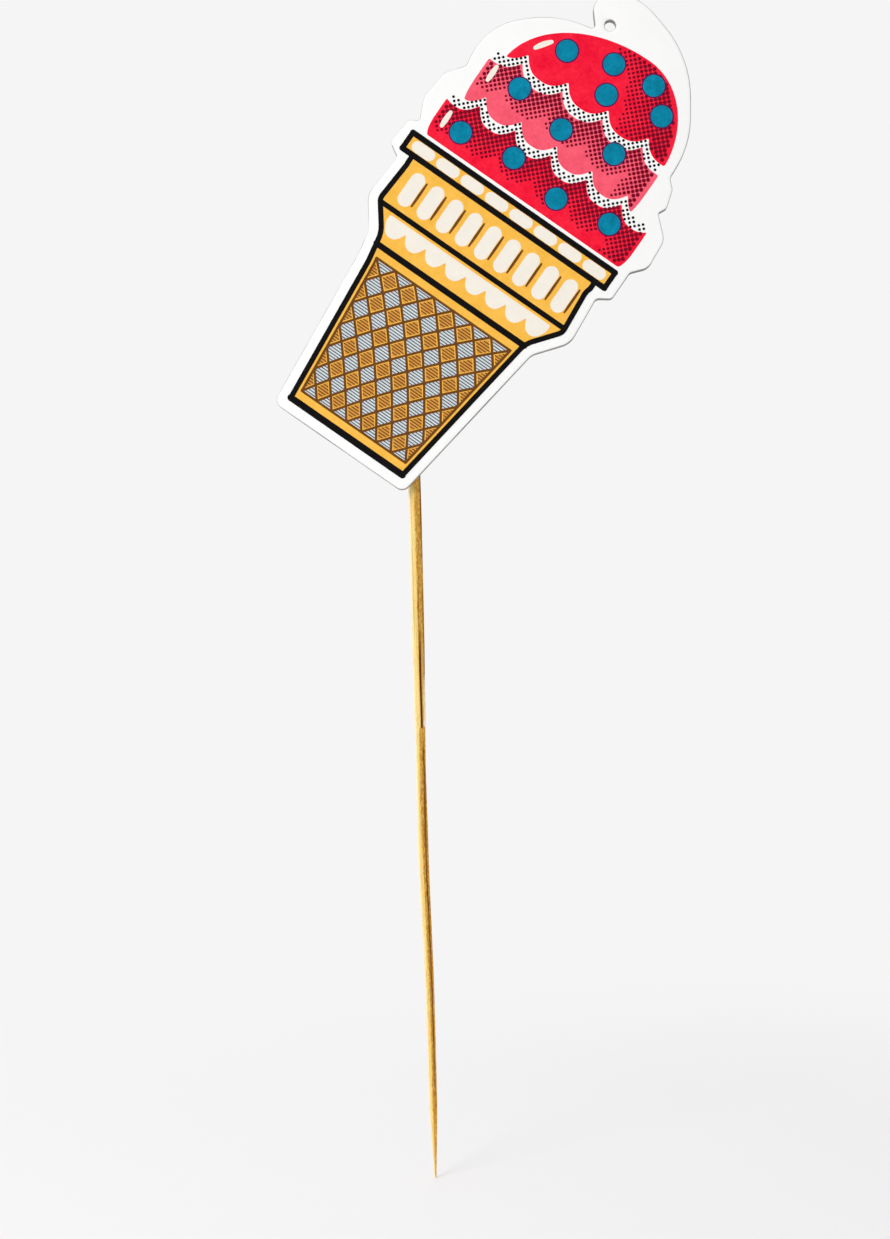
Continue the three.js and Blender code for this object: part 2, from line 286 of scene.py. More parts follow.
def to_card(points):
    """(x, z) to (u, v)."""
    return np.stack([(points - BASE) @ ACROSS, (points - BASE) @ UP_CARD], axis=-1)


def to_model(uv, y):
    """(u, v) at depth y to (x, y, z)."""
    xz = BASE + uv[..., :1] * ACROSS + uv[..., 1:] * UP_CARD
    depth = np.broadcast_to(np.asarray(y, float)[..., None], xz.shape[:-1] + (1,))
    return np.concatenate([xz[..., :1], depth, xz[..., 1:]], axis=-1)


def smooth_loop(points, spacing):
    """A closed cubic curve through the points. Its direction at a point is the sum of the two sides that meet
    there, so the longer side rules: straight sides stay straight, and short ones become arcs."""
    side = np.roll(points, -1, axis=0) - points
    length = np.linalg.norm(side, axis=1)
    direction = unit(side + np.roll(side, 1, axis=0))
    count = np.maximum(1, np.ceil(length / spacing)).astype(int)
    i = np.repeat(np.arange(len(points)), count)
    t = ((np.arange(count.sum()) - np.repeat(np.cumsum(count) - count, count)) / count[i])[:, None]
    j = (i + 1) % len(points)
    start = points[i] * (2 * t**3 - 3 * t**2 + 1) + points[j] * (3 * t**2 - 2 * t**3)
    bend = direction[i] * (t**3 - 2 * t**2 + t) + direction[j] * (t**3 - t**2)
    return start + bend * length[i][:, None]


outline = smooth_loop(to_card(raw_outline), OUTLINE_SPACING)
hole = smooth_loop(to_card(raw_hole), OUTLINE_SPACING / 4)


def inward(loop):
    """At each point of a loop, one unit to the left of its direction, which is into the material."""
    return left_of(np.roll(loop, -1, axis=0) - np.roll(loop, 1, axis=0))


# Card layers


def flat_face(rings, starts, back):
    """Triangles between an outer and an inner ring of (u, v), numbered from `starts` and turned over for the
    back."""
    index = np.concatenate([start + np.arange(len(ring)) for ring, start in zip(rings, starts)])
    spots = np.concatenate(rings)
    triangles = np.array(tessellate_polygon([[Vector((u, v, 0)) for u, v in ring] for ring in rings]))
    a, b, c = (spots[triangles[:, k]] for k in range(3))
    turned = (np.cross(b - a, c - a) < 0) ^ back
    triangles[turned] = triangles[turned][:, ::-1]
    return index[triangles]


def die_cut_layer(name, profile, material, node, rough=0.0, seed=0):
    """One layer of the card. `profile` gives (inset, y, cut) from the front edge to the back edge and is
    carried round the outline and round the hole; flat faces close it at the front and at the back. `cut`
    becomes an attribute, less in the hole, which greys the cut edge partly as painted shade. `rough` is how
    far the wall's inner rows wander in and out."""
    points = []
    faces = []
    cuts = []
    first_rings = []
    last_rings = []
    starts = []
    # in the hole the edge's grey, partly painted shade, is scaled by the hole's own share
    for loop, edge_grey_and_shade in ((outline, 1.0), (hole, HOLE_GREY_AND_SHADE)):
        starts.append(sum(len(p) for p in points))
        insets, depths, cut = (np.array(column)[:, None] * np.ones(len(loop)) for column in zip(*profile))
        if rough:
            wander = smooth_noise((len(profile), len(loop)), (0.6, 1.5), seed + len(loop))
            insets[1:-1] += rough * np.clip(wander[1:-1] + 1, 0, 3)
        rows = loop + inward(loop) * insets[..., None]
        cuts.append(edge_grey_and_shade * cut.ravel())
        points.append(to_model(rows, depths).reshape(-1, 3))
        faces.extend(grid_faces(len(profile), len(loop), wrap=True)[:, ::-1] + starts[-1])
        first_rings.append(rows[0])
        last_rings.append(rows[-1])
    faces.extend(flat_face(first_rings, starts, False))
    last_starts = [start + (len(profile) - 1) * len(ring) for start, ring in zip(starts, last_rings)]
    faces.extend(flat_face(last_rings, last_starts, True))
    shape = np.concatenate(points), faces
    piece(name, shape, material, [node], {"cut": np.concatenate(cuts)}, smooth=35)


def front_sheet(material):
    """White paper. Its front edge is rolled over by the die: a lead-in and then a quarter round, in shares of
    the pressed edge, also round the punched hole."""
    profile = [(2.6 * PRESSED_EDGE, FACE, 0), (1.7 * PRESSED_EDGE, FACE + 0.05 * PRESSED_EDGE, 0)]
    # round the quarter round the cut share rises, greying the rounded edge partly as painted shade
    for angle in np.linspace(0, math.pi / 2, 6):
        inset = PRESSED_EDGE * (1 - math.sin(angle))
        depth = PRESSED_EDGE * (1.15 - math.cos(angle))
        profile.append((inset, FACE + min(depth, CORE_FRONT - FACE - 0.01 * MM), math.sin(angle)))
    profile.append((0.006 * MM, CORE_FRONT, 1))
    die_cut_layer("front_paper", profile, material, "front_print_sheet")


def core_layer(material):
    """Grey board, whose cut wall is slightly torn between the two papers."""
    profile = [(0.012 * MM, y, 1) for y in np.linspace(CORE_FRONT, CORE_BACK, 9)]
    die_cut_layer("grey_board", profile, material, "core_board", TORN, seed=5)


def backing_layer(material):
    """Plain paper, whose back edge turns out a little where the die left it."""
    profile = [
        (0.01 * MM, CORE_BACK, 1),
        (0.004 * MM, (CORE_BACK + CARD_BACK) / 2, 1),
        (0.0, CARD_BACK - 0.03 * MM, 1),
        (0.02 * MM, CARD_BACK - 0.008 * MM, 0.7),
        (0.06 * MM, CARD_BACK, 0),
    ]
    die_cut_layer("backing_paper", profile, material, "backing_sheet")


# Ink films


def ribbon(path, width, height, swell=0.0):
    """A line of ink along a path of (u, v) with half-round ends. Its width is `width` in the middle and falls
    by the share `swell` towards the ends, as 1 - swell (2 t - 1)^2."""
    along = distances(path)
    half = width / 2 * (1 - swell)
    end = half * (1 - np.cos(np.linspace(0, math.pi / 2, 7)))
    inner = along[(along > half) & (along < along[-1] - half)]
    stations = np.concatenate([end, inner, along[-1] - end[::-1]])
    path = resampled(path, stations)
    near_end = np.clip(np.minimum(stations, along[-1] - stations) / half, 0, 1)
    t = stations / along[-1]
    reach = width / 2 * (1 - swell * (2 * t - 1) ** 2) * np.sqrt(1 - (1 - near_end) ** 2)
    side = left_of(np.gradient(path, axis=0)) * reach[:, None]
    grid = np.stack([path - side, path + side], axis=0)
    return slab(to_model(grid, FACE - height), to_model(grid, FACE + INK_ROOT))


def keyline(path, width, height):
    """An even line whose round ends are centred on the path's own ends, so that lines that meet join."""
    start = path[0] + width / 2 * unit(path[0] - path[1])
    end = path[-1] + width / 2 * unit(path[-1] - path[-2])
    return ribbon(np.vstack([start, path, end]), width, height)


def prints(rings, height):
    """Many small films at once, each from one ring of points: one on top, one in the paper, and a wall."""
    sides = rings.shape[1]
    top = to_model(rings, FACE - height)
    under = to_model(rings, FACE + INK_ROOT)
    points = np.concatenate([top, under], axis=1).reshape(-1, 3)
    corner = np.arange(sides)
    after = (corner + 1) % sides
    wall = np.stack([corner, corner + sides, after + sides, after], axis=-1)
    faces = []
    for start in np.arange(len(rings)) * 2 * sides:
        faces.append(start + corner)
        faces.append(start + sides + corner[::-1])
        faces.extend(start + wall)
    return points, faces


def discs(centres, radii, height, sides=10):
    """Round films: centre + radius (cos a, sin a)."""
    angle = around(sides)[0]
    ring = np.stack([np.cos(angle), np.sin(angle)], axis=-1)
    return prints(centres[:, None, :] + radii[:, None, None] * ring, height)


def bars(starts, ends, width, height):
    """Straight lines of ink with square ends."""
    side = left_of(ends - starts) * width / 2
    return prints(np.stack([starts - side, ends - side, ends + side, starts + side], axis=1), height)


def meeting(side, edge, levels):
    """The first level, on the way through `levels`, at which a side, u over v, meets an edge, v over u."""
    gap = edge(side(levels)) - levels
    i = np.argmax(gap * gap[0] <= 0)
    return levels[i - 1] + (levels[i] - levels[i - 1]) * gap[i - 1] / (gap[i - 1] - gap[i])


def softened(border, spread):
    """A closed border with its corners rounded: evenly spaced points, blurred by a Gaussian `spread` wide."""
    closed = np.vstack([border, border[:1]])
    length = distances(closed)[-1]
    even = resampled(closed, np.linspace(0, length, len(border), endpoint=False))
    return blurred(even, (spread / length * len(border), 0))


def area(sides, low, high, height, count=400):
    """A film between two sides, given as u over v, and two edges, given as v over u. Its border runs along
    the low edge, up the right side, back along the high edge and down the left side, from each meeting point
    to the next, with its corners a little rounded, as the ink leaves them."""
    start = float(low(0.0) + high(0.0)) / 2
    down = np.linspace(start, 0, SEARCH_STEPS)
    up = np.linspace(start, ABOVE_CARD, SEARCH_STEPS)
    left_low, right_low = (meeting(side, low, down) for side in sides)
    left_high, right_high = (meeting(side, high, up) for side in sides)
    left, right = sides
    foot = np.linspace(left(left_low), right(right_low), count)[:-1]
    climb = np.linspace(right_low, right_high, count)[:-1]
    head = np.linspace(right(right_high), left(left_high), count)[:-1]
    fall = np.linspace(left_high, left_low, count)[:-1]
    u = np.concatenate([foot, right(climb), head, left(fall)])
    v = np.concatenate([low(foot), climb, high(head), fall])
    return prints(softened(np.stack([u, v], axis=-1), INK_SPREAD)[None], height)


def joined(films):
    """Several films as one set of points and faces."""
    faces = []
    start = 0
    for film_points, film_faces in films:
        faces.extend(np.asarray(face) + start for face in film_faces)
        start += len(film_points)
    return np.concatenate([film_points for film_points, _ in films]), faces


# Print layout


def edge_limits(margin):
    """The sides of the area that keeps `margin` inside the outline and right of the hole, as two functions of
    v. At level v the left one is the largest u + sqrt(margin^2 - (v - v_i)^2) over the left points, the right
    one likewise."""
    u, v = np.concatenate([outline, hole]).T
    levels = np.linspace(0, v.max(), LIMIT_LEVELS)
    rise = v[None, :] - levels[:, None]
    bulge = np.sqrt(np.maximum(margin**2 - rise**2, 0))
    near = np.abs(rise) < margin
    left = np.where(near & (u < 0)[None, :], u + bulge, -1).max(axis=1)
    right = np.where(near & (u > 0)[None, :], u - bulge, 1).min(axis=1)
    return (lambda v: np.interp(v, levels, left)), (lambda v: np.interp(v, levels, right))


def level(value):
    """A straight edge, or a straight side."""
    return lambda x: np.full_like(x, value)


def scallops(base, depth, pitch, start=0.0):
    """A row of hanging scallops: v = base - depth (1 - |x|^2.6), with x from -1 to 1 over each pitch."""

    def edge(u):
        x = 2 * np.mod((u - start) / pitch, 1) - 1
        return base - depth * (1 - np.abs(x) ** 2.6)

    return edge


def lowered(edge, drop):
    """An edge moved down."""
    return lambda u: edge(u) - drop


def scoop_sides(middle, reach, low, high, fall):
    """The two sides of a scoop: u = middle -/+ reach (1 - fall x^4), x from -1 to 1 between its levels."""

    def half(v):
        x = np.clip((v - (low + high) / 2) / ((high - low) / 2), -1, 1)
        return reach * (1 - fall * x**4)

    return (lambda v: middle - half(v)), (lambda v: middle + half(v))


def dome_sides(crown, left, right, base, top):
    """The two sides of the top scoop: above `base`, u = crown - left h and crown + right h, where h is
    sqrt(1 - x^2) and x goes from 0 to 1."""

    def share(v):
        x = np.clip((v - base) / (top - base), 0, 1)
        return np.sqrt(1 - x**2)

    return (lambda v: crown - left * share(v)), (lambda v: crown + right * share(v))


def upright(sides, low, high):
    """Two sides that are upright above the level `high` and below the level `low`."""
    return tuple(lambda v, side=side: side(np.clip(v, low, high)) for side in sides)


def within(sides, limits):
    """Two sides kept inside two others."""
    return (
        lambda v: np.maximum(sides[0](v), limits[0](v)),
        lambda v: np.minimum(sides[1](v), limits[1](v)),
    )


def drawn_in(sides, by):
    """Two sides moved towards each other."""
    return (lambda v: sides[0](v) + by), (lambda v: sides[1](v) - by)


def side_path(side, low, high, count=60):
    """The path of one side between two levels."""
    v = np.linspace(low, high, count)
    return np.stack([side(v), v], axis=-1)


def level_path(sides, v):
    """A straight path across the card at one level."""
    left, right = (side(np.array([v]))[0] for side in sides)
    return side_path(level(v), left, right, 30)[:, ::-1]


# Materials


def shade_of(colour, share=1.0, thin=0.0):
    """A screen colour as linear light times `share`, with the share `thin` of the paper's light added."""
    screen = np.array([colour, PAPER]) / 255
    linear = np.where(screen <= 0.04045, screen / 12.92, ((screen + 0.055) / 1.055) ** 2.4)
    return (*np.minimum(1, linear[0] * share + linear[1] * thin).tolist(), 1.0)


def fill(tree, node, sockets):
    """Sets a node's sockets. Each entry is a plain value, or another node's output to join to it."""
    for key, value in sockets.items():
        if isinstance(value, bpy.types.NodeSocket):
            tree.links.new(value, node.inputs[key])
        else:
            node.inputs[key].default_value = value


def add(tree, kind, sockets=None, **settings):
    """A node with its settings and sockets."""
    node = tree.nodes.new(kind)
    for key, value in settings.items():
        setattr(node, key, value)
    fill(tree, node, sockets or {})
    return node


def reckon(tree, operation, *values):
    """One step of arithmetic on numbers and outputs."""
    return add(tree, "ShaderNodeMath", dict(enumerate(values)), operation=operation).outputs[0]


def ranged(tree, value, low, high, start=0.0, end=1.0):
    """`start` where the value is below `low`, `end` where it is above `high`, and an even ramp between."""
    return add(tree, "ShaderNodeMapRange", {0: value, 1: low, 2: high, 3: start, 4: end}).outputs[0]


def noise(tree, place, size, detail, roughness=0.5):
    """Noise whose lumps are `size` across, which is a number or a group's input."""
    scale = 1 / size if isinstance(size, float) else reckon(tree, "DIVIDE", 1.0, size)
    sockets = {"Vector": place, "Scale": scale, "Detail": detail, "Roughness": roughness}
    return add(tree, "ShaderNodeTexNoise", sockets).outputs[0]


def bump(tree, height, distance, strength):
    """A normal from a height."""
    sockets = {"Height": height, "Distance": distance, "Strength": strength}
    return add(tree, "ShaderNodeBump", sockets).outputs["Normal"]


def mix_colour(tree, factor, low, high):
    """The colour `low` where factor is 0 and `high` where it is 1."""
    return add(tree, "ShaderNodeMix", {"Factor": factor, 6: low, 7: high}, data_type="RGBA").outputs[2]


def attribute(tree, name):
    """A number that the mesh holds at each point."""
    return add(tree, "ShaderNodeAttribute", attribute_name=name).outputs["Fac"]


def stretched(tree, place, scale):
    """Object coordinates squeezed or stretched along each axis."""
    return add(tree, "ShaderNodeMapping", {"Vector": place, "Scale": scale}).outputs[0]


def new_group(name, inputs, output, kind):
    """A shader node group with a vector input, float inputs with their usual values, and one output."""
    tree = bpy.data.node_groups.new(name, "ShaderNodeTree")
    tree.interface.new_socket(name="Vector", in_out="INPUT", socket_type="NodeSocketVector")
    for key, value in inputs.items():
        socket = tree.interface.new_socket(name=key, in_out="INPUT", socket_type="NodeSocketFloat")
        socket.default_value = value
    tree.interface.new_socket(name=output, in_out="OUTPUT", socket_type=kind)
    return tree, add(tree, "NodeGroupInput").outputs, add(tree, "NodeGroupOutput")


def mottle_group():
    """Clouds and specks, together a mask from 0 to 1. Sizes are in metres."""
    usual = {"Cloud Size": 3 * MM, "Speck Size": 0.3 * MM, "Specks": 0.5}
    tree, given, result = new_group("mottle", usual, "Mask", "NodeSocketFloat")
    clouds, specks = (
        ranged(tree, noise(tree, given["Vector"], given[key], detail=3.0, roughness=0.6), 0.32, 0.68)
        for key in ("Cloud Size", "Speck Size")
    )
    mixed = add(tree, "ShaderNodeMix", {"Factor": given["Specks"], 2: clouds, 3: specks}, data_type="FLOAT")
    fill(tree, result, {"Mask": mixed.outputs[0]})
    return tree


def tooth_group():
    """The fine tooth of paper and board: a normal from fine noise. Sizes are in metres."""
    usual = {"Fibre Size": 0.2 * MM, "Height": 0.01 * MM, "Strength": 0.5}
    tree, given, result = new_group("tooth", usual, "Normal", "NodeSocketVector")
    fibres = noise(tree, given["Vector"], given["Fibre Size"], detail=4.0, roughness=0.65)
    fill(tree, result, {"Normal": bump(tree, fibres, given["Height"], given["Strength"])})
    return tree


MOTTLE = mottle_group()
TOOTH = tooth_group()


def mottled(tree, place, cloud, speck, specks):
    """The mottle's mask with a material's own sizes and share of specks."""
    sockets = {"Vector": place, "Cloud Size": cloud, "Speck Size": speck, "Specks": specks}
    return add(tree, "ShaderNodeGroup", sockets, node_tree=MOTTLE).outputs[0]


def toothed(tree, place, fibre, height, strength):
    """The tooth's normal with a material's own sizes and strength."""
    sockets = {"Vector": place, "Fibre Size": fibre, "Height": height, "Strength": strength}
    return add(tree, "ShaderNodeGroup", sockets, node_tree=TOOTH).outputs[0]


def new_material(name):
    """An empty material with its Principled shader and object coordinates."""
    material = bpy.data.materials.new(name)
    material.use_nodes = True
    tree = material.node_tree
    tree.nodes.clear()
    shader = add(tree, "ShaderNodeBsdfPrincipled")
    add(tree, "ShaderNodeOutputMaterial", {"Surface": shader.outputs[0]})
    return material, tree, shader, add(tree, "ShaderNodeTexCoord").outputs["Object"]


def set_shader(tree, shader, colour, normal, roughness, specular, **more):
    """Joins a material's colour and normal to its shader and sets the rest on the shader's own sockets."""
    sockets = {"Base Color": colour, "Normal": normal, "Roughness": roughness}
    fill(tree, shader, {**sockets, "Specular IOR Level": specular, **more})


def paper_like(name, colour, variation, roughness, fibre, height):
    """A matte sheet: its colour clouded and specked a little, with a fine tooth. The `cut` attribute greys
    the edge where the die went through, more in some places than in others; the grey is partly the cut
    paper's own and partly painted shade that draws a dark line along the card's edge."""
    material, tree, shader, place = new_material(name)
    mask = mottled(tree, place, cloud=6 * MM, speck=0.25 * MM, specks=0.45)
    sheet = mix_colour(tree, mask, shade_of(colour, 1 - variation), shade_of(colour, 1 + 0.3 * variation))
    patches = ranged(tree, noise(tree, place, 5 * MM, detail=3.0), 0.35, 0.65, start=0.55)
    # partly painted shade: the die-cut edge is greyed to draw a dark line along the card's edge
    edge_grey_and_shade = reckon(tree, "MULTIPLY", attribute(tree, "cut"), patches)
    sheet = mix_colour(tree, edge_grey_and_shade, sheet, shade_of(CUT_EDGE_AND_SHADE))
    normal = toothed(tree, place, fibre, height, strength=0.6)
    set_shader(tree, shader, sheet, normal, roughness, specular=0.12)
    return material


def ink(name, colour, variation=0.1, thin=0.004):
    """Screen ink: clouded, with thin places where a little of the paper shows, over the paper's tooth."""
    material, tree, shader, place = new_material(name)
    mask = mottled(tree, place, cloud=1.8 * MM, speck=0.4 * MM, specks=0.4)
    light = shade_of(colour, 1 + 0.3 * variation, thin)
    tone = mix_colour(tree, mask, shade_of(colour, 1 - variation), light)
    normal = toothed(tree, place, fibre=0.22 * MM, height=0.008 * MM, strength=0.5)
    set_shader(tree, shader, tone, normal, roughness=0.7, specular=0.06)
    return material


def cut_board():
    """The board's cut wall: grey pulp in fine layers that run round the card, with darker torn fibres. Where
    the `cut` attribute is low it is clean and pale; in the punched hole the attribute stays fairly high, so
    the hole's wall is mostly grey, partly as painted shade that darkens the hole."""
    material, tree, shader, place = new_material("cut_board")
    layers = noise(tree, stretched(tree, place, (1, 14, 1)), 1.1 * MM, detail=4.0, roughness=0.7)
    tone = ranged(tree, layers, 0.35, 0.68)
    colour = mix_colour(tree, tone, shade_of(BOARD, 0.72), shade_of(BOARD, 1.12))
    fibres = noise(tree, stretched(tree, place, (1, 0.5, 1)), 0.16 * MM, detail=2.0)
    colour = mix_colour(tree, ranged(tree, fibres, 0.6, 0.72), colour, shade_of(BOARD, 0.5))
    # painted shade: in the hole the wall keeps most of the board's grey, which darkens the hole
    colour = mix_colour(tree, attribute(tree, "cut"), shade_of(PUNCHED_BOARD), colour)
    normal = toothed(tree, place, fibre=0.14 * MM, height=0.04 * MM, strength=0.8)
    set_shader(tree, shader, colour, normal, roughness=0.95, specular=0.2)
    return material


def bamboo():
    """Split bamboo: straw-pale flesh on one side and specked honey-brown wood on the other, with a ragged
    line between them, as the `skin` attribute says, both streaked along the grain and flecked with short
    dark fibres. The brown side is partly the wood's own and partly painted shade of the face right of the
    front ridge, away from the key light. The `pith` attribute pales one edge, and another attribute darkens
    what is left of the outer skin, with painted shade in the deep split and down the right edge."""
    material, tree, shader, place = new_material("bamboo")

    def grain(width, length, low, high, detail=2.0):
        """Noise drawn out along the stick, as a mask: lumps `width` across and `length` long, 0 where the
        noise is below `low` and 1 where it is above `high`."""
        drawn_out = stretched(tree, place, (1, 1, width / length))
        return ranged(tree, noise(tree, drawn_out, width, detail), low, high)

    streak = grain(0.34 * MM, 14 * MM, 0.36, 0.64)
    fibre = grain(0.12 * MM, 4 * MM, 0.35, 0.65)
    blotch = grain(0.5 * MM, 3 * MM, 0.38, 0.62, 3.0)
    speck = grain(0.24 * MM, 0.6 * MM, 0.36, 0.64)
    fleck = grain(0.1 * MM, 1.6 * MM, 0.6, 0.72, 1.0)
    pale = mix_colour(tree, streak, shade_of(STRAW, 0.78), shade_of(STRAW_PALE))
    pale = mix_colour(tree, fibre, pale, shade_of(STRAW))
    pale = mix_colour(tree, attribute(tree, "pith"), pale, shade_of(PITH))
    deep = mix_colour(tree, streak, shade_of(HONEY_DEEP, 0.7), shade_of(HONEY_DEEP, 1.04))
    wood = mix_colour(tree, blotch, shade_of(HONEY, 0.98), shade_of(HONEY, 1.2))
    wood = mix_colour(tree, speck, deep, wood)
    ragged = reckon(tree, "MULTIPLY_ADD", speck, 0.5, attribute(tree, "skin"))
    # painted shade, in part: the brown starts at the front ridge, darkening the face right of it
    colour = mix_colour(tree, ranged(tree, ragged, 0.65, 0.85), pale, wood)
    colour = mix_colour(tree, reckon(tree, "MULTIPLY", fleck, 0.4), colour, shade_of(BARK_AND_SHADE))
    # dark fibres and outer skin, with painted shade in the split and down the right edge
    colour = mix_colour(tree, attribute(tree, "bark_and_shade"), colour, shade_of(BARK_AND_SHADE))
    normal = bump(tree, fibre, distance=0.04 * MM, strength=0.5)
    set_shader(tree, shader, colour, normal, roughness=0.65, specular=0.03)
    return material


def hot_glue():
    """Milky half-clear glue with a wet-looking skin and small flow ripples."""
    material, tree, shader, place = new_material("hot_glue")
    mask = mottled(tree, place, cloud=1.6 * MM, speck=0.3 * MM, specks=0.2)
    colour = mix_colour(tree, mask, shade_of(GLUE, 0.86), shade_of(GLUE, 1.05))
    normal = bump(tree, noise(tree, place, 1.2 * MM, detail=1.0), distance=0.12 * MM, strength=0.4)
    depth = {"Subsurface Weight": 0.45, "Subsurface Radius": (1.0, 0.8, 0.55), "Subsurface Scale": 1.2 * MM}
    skin = {"Coat Weight": 0.3, "Coat Roughness": 0.12}
    set_shader(tree, shader, colour, normal, roughness=0.22, specular=0.5, **depth, **skin)
    return material


def crepe_tape():
    """Beige crepe tape: close wrinkles across its length, with painted light on their crests and painted
    shade between them.
    """
    material, tree, shader, place = new_material("crepe_tape")
    crepe = noise(tree, stretched(tree, place, (1, 1, 0.16)), 0.34 * MM, detail=3.0, roughness=0.55)
    # painted light and shade: the wrinkles that make the bump also make the colour lighter on their crests
    crest_light_and_shade = ranged(tree, crepe, 0.33, 0.67)
    colour = mix_colour(tree, crest_light_and_shade, shade_of(TAPE, 0.8), shade_of(TAPE, 1.06))
    mask = mottled(tree, place, cloud=4 * MM, speck=0.2 * MM, specks=0.5)
    colour = mix_colour(tree, mask, shade_of(TAPE, 0.9), colour)
    normal = bump(tree, crepe, distance=0.08 * MM, strength=0.6)
    set_shader(tree, shader, colour, normal, roughness=0.8, specular=0.25)
    return material


def camera_like_rays(tree):
    """1 for rays that see the background straight, mirrored or through something clear, else 0."""
    path = add(tree, "ShaderNodeLightPath").outputs
    seen = reckon(tree, "MAXIMUM", path["Is Camera Ray"], path["Is Glossy Ray"])
    return reckon(tree, "MAXIMUM", seen, path["Is Transmission Ray"])


def floor_material():
    """Pale floor that keeps the pick's shadow near it and runs out into the plain background further off."""
    material, tree, shader, place = new_material("pale_floor")
    look = {"Base Color": shade_of(BACKGROUND, FLOOR_SHADE), "Roughness": 0.9, "Specular IOR Level": 0.1}
    fill(tree, shader, look)
    reach = add(tree, "ShaderNodeVectorMath", {0: place}, operation="LENGTH").outputs["Value"]
    clear = {0: reach, 1: FLOOR_CLEAR_FROM, 2: FLOOR_CLEAR_TO}
    far = add(tree, "ShaderNodeMapRange", clear, interpolation_type="SMOOTHSTEP").outputs[0]
    share = reckon(tree, "MULTIPLY", far, camera_like_rays(tree))
    plain = add(tree, "ShaderNodeEmission", {"Color": shade_of(BACKGROUND), "Strength": 1.0})
    mix = add(tree, "ShaderNodeMixShader", {0: share, 1: shader.outputs[0], 2: plain.outputs[0]})
    output = next(n for n in tree.nodes if n.type == "OUTPUT_MATERIAL")
    fill(tree, output, {"Surface": mix.outputs[0]})
    return material


# The print: a plain ice-cream cone in flat inks, laid out from levels up the card

KEYLINE = 0.85 * MM
CONE_LINE = 1.1 * MM  # the keylines along the foot of the cone and of the collar, and along the rim
COLLAR_LINE = 1.0 * MM
RIM_LINE = 0.95 * MM
CONE_LOW = 2.2 * MM
WAFFLE_LOW = 4.1 * MM
WAFFLE_HIGH = 28.4 * MM
WAFFLE_IN = 1.0 * MM
WAFFLE_ACROSS = 7
WAFFLE_UP = 6
WAFFLE_PITCH = (WAFFLE_HIGH - WAFFLE_LOW) / WAFFLE_UP
WAFFLE_LINE = 0.4 * MM
SHORTEST_LINE = 0.2  # of a waffle cell: shorter ones are left out
PIT_SHARE = (0.72, 0.84)  # of a waffle cell, amber and slate
HATCH_PITCH = 0.44 * MM
HATCH_LINE = 0.15 * MM
HATCH_REACH = 0.9  # of a pit's half-height
COLLAR_FOOT = 30.3 * MM  # the keyline between cone and collar
COLLAR_SPLIT = 36.2 * MM
COLLAR_NECK = 43.8 * MM  # from here up the collar's sides are upright
RIM_LOW = 45.2 * MM
RIM_HIGH = 48.2 * MM
RIM_MIDDLE = (RIM_LOW + RIM_HIGH) / 2
CREAM_SCALLOPS = 8
CREAM_PITCH = 3.9 * MM
CREAM_MIDDLE = 0.5 * MM
CREAM_LOW = 34.2 * MM  # where the cream scallops meet
CREAM_DEPTH = 2.0 * MM
CREAM_HIGH = COLLAR_SPLIT - KEYLINE
FLUTES = (9, 3.72 * MM, 0.3 * MM)  # how many, from one to the next, and the row's middle
FLUTE_SPAN = (37.5 * MM, 43.5 * MM)
FLUTE_WIDTH = 2.45 * MM
FLUTE_SHADE_SPAN = (38.2 * MM, 42.8 * MM)
FLUTE_SHADE_ASIDE = 1.52 * MM
FLUTE_SHADE_WIDTH = 0.44 * MM
BEADS = (8, 4.75 * MM, 0.1 * MM)
BEAD_REACH = 2.1 * MM
BEAD_WIDTH = 1.9 * MM
ICE_SHARE = 0.9  # the scoops keep this much of the print's margin
FIRST_SCOOP_LOW = 49.2 * MM
FIRST_DRIP = 59.6 * MM  # where the middle scoop's scallops meet
SECOND_DRIP = 69.0 * MM
DRIP_DEPTH = 2.4 * MM
DRIP_GAP = 1.7 * MM  # bare paper under a row of scallops
FIRST_DRIPS = 6.9 * MM  # from one scallop to the next
SECOND_DRIPS = 7.8 * MM
DOME_TOP = 79.2 * MM
DOME_CROWN = 5.0 * MM  # the crown leans this far to the right
DOME_FOOT = 65.5 * MM
DOME_LEFT = 19.4 * MM  # from the crown
DOME_RIGHT = 11.6 * MM
DOME_FREE = 72 * MM  # from here up only its own curve bounds the top scoop
SHINE_SPANS = ((51.4 * MM, 54.6 * MM), (61.6 * MM, 64.8 * MM), (70.2 * MM, 73.0 * MM))  # lowest scoop first
SHINE_IN = 1.8 * MM
SHINE_WIDTH = 0.9 * MM
DOT_PITCH = 0.69 * MM
DOT_COLUMNS = (-60, 61)  # the grid's span in steps of pitch / sqrt(2), wider than the scoops
DOT_ROWS = (90, 170)
DOT_ON_INK = 0.335 * MM
DOT_ON_PAPER = 0.225 * MM
DOT_SHRINK = 0.4  # how much smaller the last dots of a band are
DOT_CLEAR = 0.1 * MM  # between a dot's middle and the edge of an ink
SHADE_BAND = 4.8 * MM
SIDE_SHADE = 4.4 * MM
DOME_SHADE = 10.0 * MM
CONFETTI_RADIUS = 1.75 * MM
CONFETTI_TRAP = 0.2 * MM
# Staggered rows of confetti in millimetres: middle, pitch, level, how many, and rise from one to the next
CONFETTI_ROWS = (
    (0.6, 9.3, 53.3, 4, 1.5),
    (-0.4, 9.2, 62.9, 3, -1.6),
    (2.4, 9.2, 71.9, 3, -2.2),
    (4.2, 7.2, 75.9, 2, 0.8),
)

